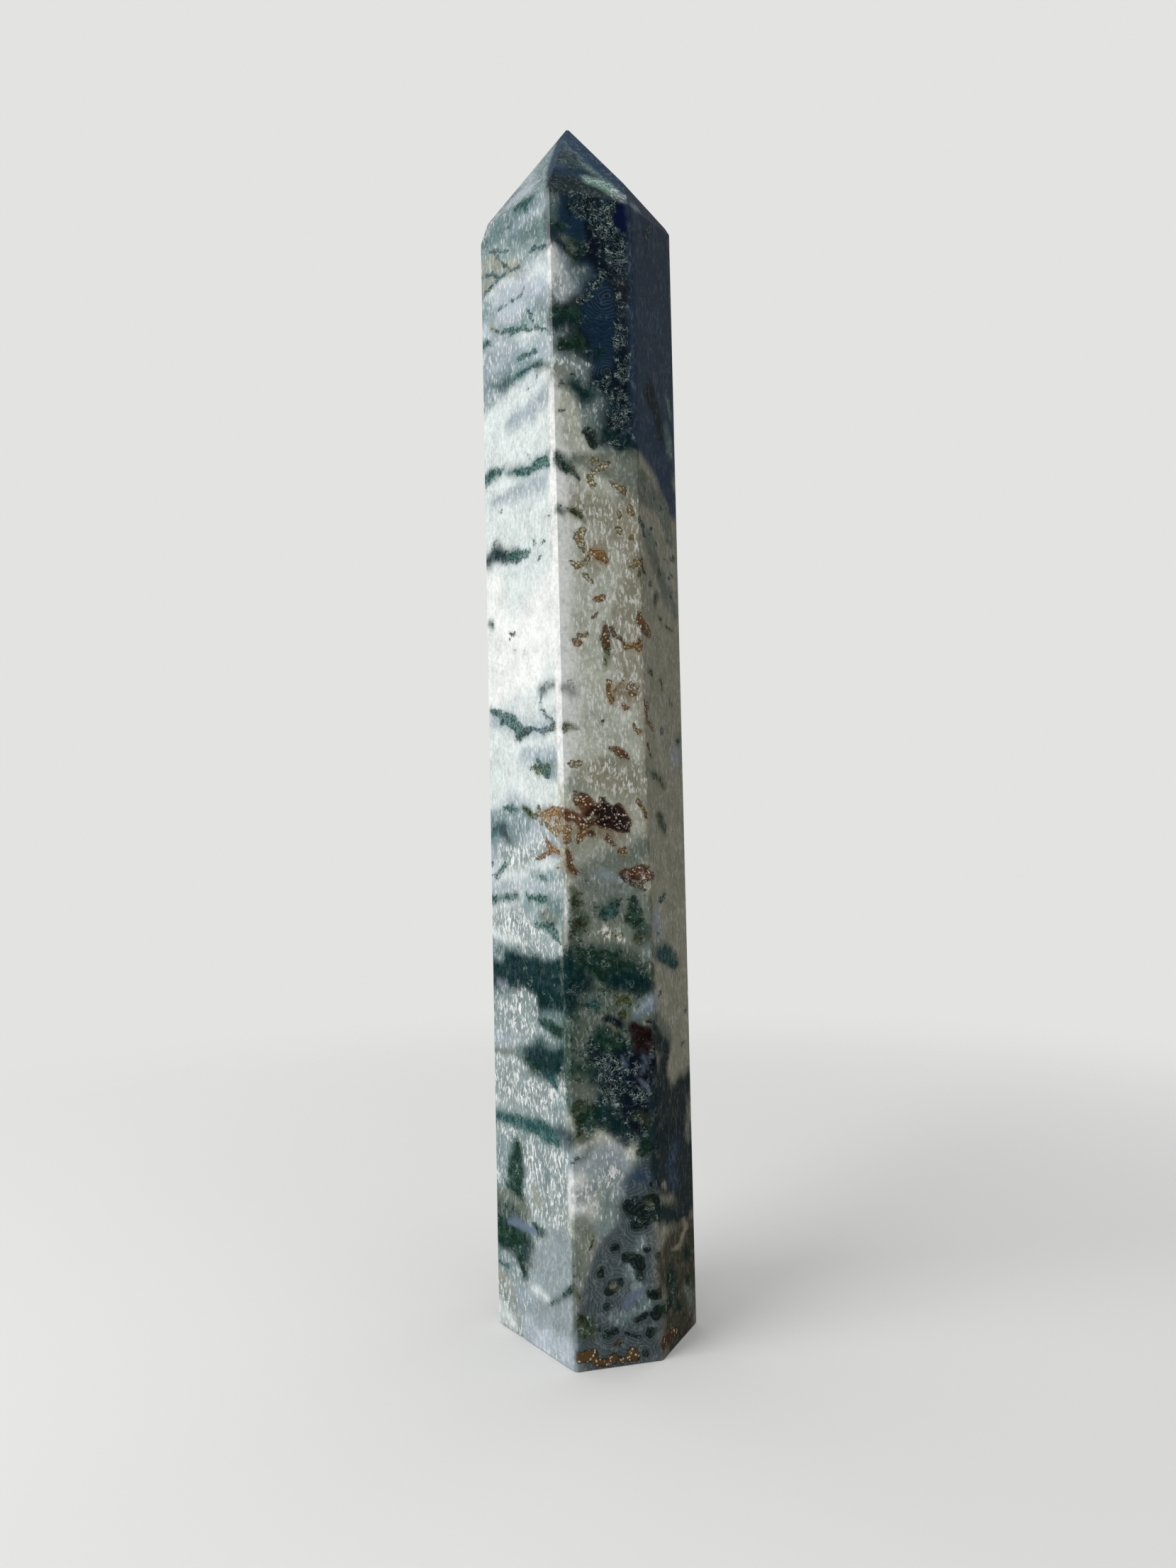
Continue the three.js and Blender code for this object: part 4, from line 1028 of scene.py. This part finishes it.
def in_scene(name, data):
    """A new object of the scene, which holds a mesh, a camera or a light."""
    item = bpy.data.objects.new(name, data)
    bpy.context.scene.collection.objects.link(item)
    return item


def mesh_in_scene(name, bm, material):
    """A new object of the scene, which holds the finished mesh and its material."""
    mesh = bpy.data.meshes.new(name)
    bm.to_mesh(mesh)
    bm.free()
    mesh.materials.append(material)
    return in_scene(name, mesh)


def clouded_ground(tree, bent):
    """Chalcedony: the painted ground, with soft clouds and a fine grain in it."""
    ground = add(tree, "Attribute", attribute_name="ground", out="Color")
    clouds = {"Vector": bent, "Scale": scale("clouds"), "Detail": 3, "Roughness": 0.55}
    clouds = add(tree, "TexNoise", clouds)
    clouds = add(tree, "MapRange", clouds, 0.32, 0.68, 0.86, 1.1)
    grain = add(tree, "TexNoise", {"Vector": bent, "Scale": scale("grain"), "Detail": 4, "Roughness": 0.75})
    grain = add(tree, "MapRange", grain, 0.34, 0.66, 0.84, 1.13)
    shade = add(tree, "Math", clouds, grain, operation="MULTIPLY")
    return add(tree, "VectorMath", {0: ground, "Scale": shade}, operation="SCALE")


def white_fibres(tree, place, bent, colour):
    """Fine white fibres, which lean a little off upright and gather in tufts, and short bright dashes."""
    fleck = add(tree, "Attribute", attribute_name="fleck", out="Fac")
    lean = {"Vector": bent, "Rotation": (0.0, radians(FIBRE_LEAN), 0.0), "Scale": FIBRE_STRETCH}
    lean = add(tree, "Mapping", lean)
    fibres = {"Vector": lean, "Scale": scale("fibres"), "Detail": 4, "Roughness": 0.72, "Distortion": 0.4}
    fibres = add(tree, "TexNoise", fibres)
    tufts = add(tree, "TexNoise", {"Vector": bent, "Scale": scale("tufts"), "Detail": 2})
    tufts = add(tree, "MapRange", tufts, 0.38, 0.62, -0.035, 0.035)
    fibres = add(tree, "Math", fibres, tufts, operation="ADD")
    shadow = add(tree, "MapRange", fibres, 0.5, 0.36, 0.0, 0.5)
    shadow = add(tree, "Math", shadow, fleck, operation="MULTIPLY")
    deeper = add(tree, "VectorMath", {0: colour, "Scale": 0.55}, operation="SCALE")
    colour = add(tree, "Mix", {0: shadow, 6: colour, 7: deeper}, out=2, data_type="RGBA")
    bright = add(tree, "MapRange", fibres, 0.515, 0.62, 0.0, 0.92, interpolation_type="SMOOTHSTEP")
    bright = add(tree, "Math", bright, fleck, operation="MULTIPLY")
    colour = add(tree, "Mix", {0: bright, 6: colour, 7: rgba(WHITE_FIBRE)}, out=2, data_type="RGBA")
    dashes = 0.0
    some = add(tree, "MapRange", fleck, 0.12, 0.4, 0.0, 0.8)
    for turn in DASH_TURNS:
        way = {"Vector": place, "Rotation": (turn, turn, 0.0), "Scale": DASH_STRETCH}
        cells = {"Vector": add(tree, "Mapping", way), "Scale": scale("dashes"), "Randomness": 1.0}
        dash = add(tree, "MapRange", add(tree, "TexVoronoi", cells), 0.3, 0.2, 0.0, 0.9)
        lot = add(tree, "SeparateColor", add(tree, "TexVoronoi", cells, out="Color"))
        chosen = add(tree, "Math", fleck, 0.45, lot, operation="MULTIPLY_ADD")
        chosen = add(tree, "MapRange", chosen, 0.95, 1.0, 0.0, 1.0)
        dash = add(tree, "Math", dash, chosen, operation="MULTIPLY")
        dashes = add(tree, "Math", dash, dashes, operation="MAXIMUM")
    dashes = add(tree, "Math", dashes, some, operation="MULTIPLY")
    return add(tree, "Mix", {0: dashes, 6: colour, 7: rgba(WHITE_DASH)}, out=2, data_type="RGBA")


def agate_lines(tree, place, colour):
    """Fine pale lines in the chalcedony, which follow the outlines of the moss eyes."""
    eye = add(tree, "Attribute", attribute_name="eye", out="Fac")
    ring = add(tree, "Attribute", attribute_name="ring", out="Fac")
    ripple = add(tree, "TexNoise", {"Vector": place, "Scale": scale("ripples"), "Detail": 3})
    ripple = add(tree, "Math", ripple, 1.6, eye, operation="MULTIPLY_ADD")
    wave = add(tree, "Math", ripple, 2 * pi / LINE_PITCH, operation="MULTIPLY")
    wave = add(tree, "Math", wave, operation="SINE")
    line = add(tree, "MapRange", wave, -0.2, 1.0, 0.0, 0.5, interpolation_type="SMOOTHSTEP")
    near = add(tree, "MapRange", eye, 7.0, 1.0, 0.25, 1.0)
    line = add(tree, "Math", line, near, operation="MULTIPLY")
    line = add(tree, "Math", line, ring, operation="MULTIPLY")
    pale = add(tree, "Mix", {0: 0.5, 6: colour, 7: rgba(PALE_LINE)}, out=2, data_type="RGBA")
    return add(tree, "Mix", {0: line, 6: colour, 7: pale}, out=2, data_type="RGBA")


def dark_moss(tree, bent, colour):
    """Dark moss: feathered tufts of green mineral, with lighter strands tangled in them."""
    moss = add(tree, "Attribute", attribute_name="moss", out="Fac")
    grown = add(tree, "Attribute", attribute_name="growth", out="Color")
    tufts = add(tree, "TexNoise", {"Vector": bent, "Scale": scale("moss"), "Detail": 7, "Roughness": 0.74})
    reach = add(tree, "Math", tufts, 3.2, -1.6, operation="MULTIPLY_ADD")
    reach = add(tree, "Math", reach, moss, operation="ADD")
    outline = add(tree, "MapRange", reach, 0.86, 0.6, 0.0, 1.0)
    reach = add(tree, "MapRange", reach, 0.46, 0.6, 0.0, 0.94, interpolation_type="SMOOTHSTEP")
    any_moss = add(tree, "MapRange", moss, 0.02, 0.14, 0.0, 1.0)
    reach = add(tree, "Math", reach, any_moss, operation="MULTIPLY")
    sprigs = {"Vector": bent, "Scale": scale("sprigs"), "Detail": 3, "Roughness": 0.65}
    sprigs = add(tree, "TexNoise", sprigs)
    strands = add(tree, "MapRange", sprigs, 0.42, 0.56, 0.3, 1.0)
    strands = add(tree, "Math", strands, outline, operation="MAXIMUM")
    reach = add(tree, "Math", reach, strands, operation="MULTIPLY")
    return add(tree, "Mix", {0: reach, 6: colour, 7: grown}, out=2, data_type="RGBA")


def pale_threads(tree, bent, colour):
    """Pale threads that wind through the moss, thicker and thinner."""
    web = add(tree, "Attribute", attribute_name="web", out="Fac")
    threads = 0.0
    for pattern, width in THREADS.items():
        level = {"Vector": bent, "Scale": scale(pattern), "Detail": 1, "Roughness": 0.6, "Distortion": 0.9}
        level = add(tree, "TexNoise", level)
        gap = add(tree, "Math", level, 0.5, operation="SUBTRACT")
        gap = add(tree, "Math", gap, operation="ABSOLUTE")
        line = add(tree, "MapRange", gap, width, width * 0.4, 0.0, 1.0)
        threads = add(tree, "Math", line, threads, operation="MAXIMUM")
    bushes = {"Vector": bent, "Scale": scale("bushes"), "Detail": 4, "Roughness": 0.6}
    bushes = add(tree, "TexNoise", bushes)
    bushes = add(tree, "Math", bushes, 3.4, -1.7, operation="MULTIPLY_ADD")
    bushes = add(tree, "Math", bushes, web, operation="ADD")
    bushes = add(tree, "MapRange", bushes, 0.35, 0.75, 0.0, 0.95)
    threads = add(tree, "Math", threads, bushes, operation="MULTIPLY")
    some = add(tree, "MapRange", web, 0.03, 0.2, 0.0, 1.0)
    threads = add(tree, "Math", threads, some, operation="MULTIPLY")
    tone = add(tree, "TexNoise", {"Vector": bent, "Scale": scale("tones"), "Detail": 2})
    tone = add(tree, "MapRange", tone, 0.4, 0.62, 0.0, 1.0)
    pale = add(tree, "Mix", {0: tone, 6: rgba(DIM_THREAD), 7: rgba(PALE_THREAD)}, out=2, data_type="RGBA")
    return add(tree, "Mix", {0: threads, 6: colour, 7: pale}, out=2, data_type="RGBA")


def iron_beads(tree, bent, colour):
    """Iron oxide: golden to black grains, each in a dark outline, with painted highlights among them: pale
    glints painted into the colour.
    """
    bead = add(tree, "Attribute", attribute_name="bead", out="Fac")
    grown = add(tree, "Attribute", attribute_name="growth", out="Color")
    lumps = add(tree, "TexNoise", {"Vector": bent, "Scale": scale("lumps"), "Detail": 4, "Roughness": 0.7})
    lumps = add(tree, "Math", lumps, 2.0, -1.0, operation="MULTIPLY_ADD")
    reach = add(tree, "Math", lumps, bead, operation="ADD")
    some = add(tree, "MapRange", bead, 0.05, 0.25, 0.0, 0.9)
    outline = add(tree, "MapRange", reach, 0.34, 0.42, 0.0, 1.0)
    outline = add(tree, "Math", outline, some, operation="MULTIPLY")
    inside = add(tree, "MapRange", reach, 0.48, 0.58, 0.0, 1.0)
    body = add(tree, "Attribute", attribute_name="ground", out="Color")
    cells = {"Vector": bent, "Scale": scale("beads"), "Randomness": 1.0}
    grain = add(tree, "MapRange", add(tree, "TexVoronoi", cells), 0.3, 0.6, 0.0, 1.0)
    lot = add(tree, "SeparateColor", add(tree, "TexVoronoi", cells, out="Color"))
    # Painted highlights: a few of the bead cells turn pale, for the glints on the iron's crystals.
    painted_glint = add(tree, "MapRange", lot, 0.68, 0.74, 0.0, 0.9)
    umber = add(tree, "VectorMath", {0: grown, "Scale": 0.22}, operation="SCALE")
    lit = add(tree, "Mix", {0: painted_glint, 6: body, 7: rgba(PAINTED_IRON_GLINT)}, out=2, data_type="RGBA")
    lit = add(tree, "Mix", {0: grain, 6: lit, 7: grown}, out=2, data_type="RGBA")
    lit = add(tree, "Mix", {0: inside, 6: umber, 7: lit}, out=2, data_type="RGBA")
    return add(tree, "Mix", {0: outline, 6: colour, 7: lit}, out=2, data_type="RGBA")


def polished_moss_agate(settings):
    """Moss agate, sawn, ground flat and polished. The polish gives the eye clear reflections on the flat
    faces, and the chalcedony under it a little depth, as light goes into it a short way. The broad
    markings come from the painted vertices, the fine ones from noise at the size of the real growths. Some
    of it is painted light: the glow along the front's left edge, and the glints on the iron beads, which are
    painted highlights."""
    material = bpy.data.materials.new("polished moss agate")
    tree = empty_tree(material)
    place = add(tree, "TexCoord", out="Object")
    drift = add(tree, "TexNoise", {"Vector": place, "Scale": scale("bends"), "Detail": 3}, out="Color")
    drift = add(tree, "VectorMath", drift, (0.5, 0.5, 0.5), operation="SUBTRACT")
    drift = add(tree, "VectorMath", {0: drift, "Scale": BEND_REACH * MM}, operation="SCALE")
    bent = add(tree, "VectorMath", place, drift, operation="ADD")
    colour = clouded_ground(tree, bent)
    colour = white_fibres(tree, place, bent, colour)
    colour = agate_lines(tree, place, colour)
    colour = dark_moss(tree, bent, colour)
    colour = pale_threads(tree, bent, colour)
    colour = iron_beads(tree, bent, colour)
    waves = add(tree, "TexNoise", {"Vector": place, "Scale": scale("waves"), "Detail": 3})
    relief = add(tree, "Bump", {"Height": waves, "Strength": 0.15, "Distance": WAVE_HEIGHT * MM})
    surface = {
        "Base Color": colour,
        "Roughness": settings.polish,
        "IOR": AGATE_IOR,
        "Subsurface Weight": settings.translucence,
        "Subsurface Radius": EVEN_SPREAD,
        "Subsurface Scale": LIGHT_SPREAD * MM,
        "Normal": relief,
    }
    add(tree, "OutputMaterial", {"Surface": add(tree, "BsdfPrincipled", surface)})
    return material


def shown(name, bm, material):
    """Makes the finished mesh into a piece of the stone."""
    piece = mesh_in_scene(name, bm, material)
    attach(piece, "root")
    return piece


class StoneSettings(bpy.types.PropertyGroup):
    edge_round: bpy.props.FloatProperty(
        name="Edge rounding", description="Width of the rounding on the polished edges",
        default=0.08 * MM, unit="LENGTH", min=0.0, precision=5,
    )
    edge_segments: bpy.props.IntProperty(
        name="Edge segments", description="Number of steps in the rounding of an edge", default=2, min=1,
    )
    polish: bpy.props.FloatProperty(
        name="Polish", description="Roughness of the polished faces", default=0.08, min=0.0, max=1.0,
        subtype="FACTOR",
    )
    translucence: bpy.props.FloatProperty(
        name="Translucence", description="Share of the light that spreads under the surface",
        default=0.15, min=0.0, max=1.0, subtype="FACTOR",
    )


class StudioSettings(bpy.types.PropertyGroup):
    floor_colour: bpy.props.FloatVectorProperty(
        name="Floor colour", description="Colour of the plain floor", default=linear("#E9E9E7"),
        size=3, subtype="COLOR", min=0.0, max=1.0,
    )
    backdrop_colour: bpy.props.FloatVectorProperty(
        name="Background colour", description="Colour of the plain background", default=linear("#E3E3E1"),
        size=3, subtype="COLOR", min=0.0, max=1.0,
    )
    even_light: bpy.props.FloatProperty(
        name="Even light", description="Brightness of the dim light from all round", default=0.06, min=0.0,
    )
    key_power: bpy.props.FloatProperty(
        name="Key light", description="Power of the large soft light at the left", default=5.6,
        min=0.0, unit="POWER",
    )
    top_power: bpy.props.FloatProperty(
        name="Top light", description="Power of the soft light overhead", default=9.5,
        min=0.0, unit="POWER",
    )


class TOWER_OT_stone(bpy.types.Operator):
    """Make the polished stone with its markings"""

    bl_idname = "tower.stone"
    bl_label = "Polished stone"

    def execute(self, context):
        settings = context.scene.tower_stone
        bm = merged_copy()
        planes = side_planes(bm)
        round_edges(bm, settings.edge_round, settings.edge_segments)
        for side, (_, pitch) in SIDES.items():
            out, right = outward(side)
            faces = [f for f in bm.faces if f.normal.dot(out) > SIDE_SHARE]
            cut_columns(bm, faces, right, pitch * MM)
        for way in (Vector((1, 0, 0)), Vector((0, 1, 0))):
            base = [f for f in bm.faces if f.normal.z < BASE_RISE]
            cut_columns(bm, base, way, BASE_PITCH * MM)
        cut_columns(bm, list(bm.faces), Vector((0, 0, 1)), ROW_PITCH * MM)
        stone = shown("polished_stone", bm, polished_moss_agate(settings))
        paint(stone.data, planes)
        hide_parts("tower")
        return {"FINISHED"}


class TOWER_OT_stage(bpy.types.Operator):
    """Make the camera, the soft light and the plain floor"""

    bl_idname = "tower.stage"
    bl_label = "Camera, light and floor"

    def execute(self, context):
        settings = context.scene.tower_studio
        scene = context.scene
        scene.view_settings.view_transform = "Standard"
        self.place_camera(scene)
        self.lay_floor(settings)
        self.hang_light("key_light", settings.key_power * MIRRORED_SHARE, *KEY_PLACE)
        veiled = settings.key_power * (1 - MIRRORED_SHARE)
        self.hang_light("key_light_veiled", veiled, *KEY_PLACE).visible_glossy = False
        self.hang_light("top_light", settings.top_power, *TOP_PLACE).visible_glossy = False
        self.light_air(scene, settings)
        return {"FINISHED"}

    def place_camera(self, scene):
        """The camera, which looks along +Y, a little up, and leans a little to one side."""
        lens = bpy.data.cameras.new("camera")
        lens.sensor_fit = "VERTICAL"
        lens.sensor_height = SENSOR_HEIGHT
        lens.lens = CAMERA_LENS
        lens.clip_start, lens.clip_end = CAMERA_SEES
        camera = in_scene("camera", lens)
        pitch, roll = radians(CAMERA_PITCH), radians(CAMERA_ROLL)
        forward = Vector((0, cos(pitch), sin(pitch)))
        level, up = Vector((1, 0, 0)), Vector((0, -sin(pitch), cos(pitch)))
        across = cos(roll) * level - sin(roll) * up
        upward = sin(roll) * level + cos(roll) * up
        turn = Matrix((across, upward, -forward)).transposed().to_4x4()
        camera.matrix_world = Matrix.Translation(CAMERA_PLACE) @ turn
        scene.camera = camera

    def lay_floor(self, settings):
        """A plain round floor at the height of the stone's base."""
        bm = bmesh.new()
        bmesh.ops.create_circle(bm, cap_ends=True, segments=FLOOR_CORNERS, radius=FLOOR_RADIUS)
        floor = mesh_in_scene("floor", bm, self.matt_paper(settings))

    def matt_paper(self, settings):
        """Matt studio paper, which gives the eye an even tone with no shine. It fades into the plain
        background away from the stone, and is darker where the polished faces mirror it, so that the dark
        stone stays dark."""
        material = bpy.data.materials.new("matt studio paper")
        tree = empty_tree(material)
        mirrored = add(tree, "LightPath", out="Is Glossy Ray")
        tone = {0: mirrored, 6: (*settings.floor_colour, 1.0), 7: rgba(MIRRORED_FLOOR)}
        tone = add(tree, "Mix", tone, out=2, data_type="RGBA")
        place = add(tree, "TexCoord", out="Object")
        far = add(tree, "VectorMath", place, out=1, operation="LENGTH")
        fade = add(tree, "MapRange", far, *FLOOR_FADE, interpolation_type="SMOOTHSTEP")
        seen = add(tree, "LightPath", out="Is Camera Ray")
        fade = add(tree, "Math", fade, seen, operation="MULTIPLY")
        paper = add(tree, "BsdfDiffuse", tone)
        clear = add(tree, "BsdfTransparent")
        add(tree, "OutputMaterial", {"Surface": add(tree, "MixShader", fade, paper, clear)})
        return material

    def hang_light(self, name, power, size, turn, rise, far):
        """A soft rectangular light, placed by its turn and rise in degrees, which faces the stone."""
        lamp = bpy.data.lights.new(name, "AREA")
        lamp.shape = "RECTANGLE"
        lamp.size, lamp.size_y = size
        lamp.energy = power
        light = in_scene(name, lamp)
        turn, rise = radians(turn), radians(rise)
        way = Vector((cos(turn) * cos(rise), sin(turn) * cos(rise), sin(rise)))
        facing = way.to_track_quat("Z", "Y").to_matrix().to_4x4()
        light.matrix_world = Matrix.Translation(Vector(LIGHT_AIM) + way * far) @ facing
        light.visible_camera = False
        return light

    def light_air(self, scene, settings):
        """Dim even light from all round. The camera sees the air as the plain pale background."""
        world = bpy.data.worlds.new("studio")
        tree = empty_tree(world)
        seen = add(tree, "Background", {"Color": (*settings.backdrop_colour, 1.0), "Strength": 1.0})
        even = add(tree, "Background", {"Color": (1.0, 1.0, 1.0, 1.0), "Strength": settings.even_light})
        direct = add(tree, "LightPath", out="Is Camera Ray")
        add(tree, "OutputWorld", {"Surface": add(tree, "MixShader", direct, even, seen)})
        scene.world = world


class TOWER_PT_panel(bpy.types.Panel):
    bl_label = "Moss agate tower"
    bl_idname = "TOWER_PT_panel"
    bl_space_type = "VIEW_3D"
    bl_region_type = "UI"
    bl_category = "Moss agate"

    def draw(self, context):
        for operator in OPERATORS:
            self.layout.operator(operator.bl_idname)
        for group in (context.scene.tower_stone, context.scene.tower_studio):
            for name in group.__annotations__:
                self.layout.prop(group, name)


OPERATORS = (TOWER_OT_stone, TOWER_OT_stage)
CLASSES = (StoneSettings, StudioSettings, *OPERATORS, TOWER_PT_panel)


def register():
    for cls in CLASSES:
        bpy.utils.register_class(cls)
    bpy.types.Scene.tower_stone = bpy.props.PointerProperty(type=StoneSettings)
    bpy.types.Scene.tower_studio = bpy.props.PointerProperty(type=StudioSettings)


def unregister():
    del bpy.types.Scene.tower_studio
    del bpy.types.Scene.tower_stone
    for cls in reversed(CLASSES):
        bpy.utils.unregister_class(cls)


def main():
    register()
    bpy.ops.tower.stone()
    bpy.ops.tower.stage()


if __name__ == "__main__":
    main()
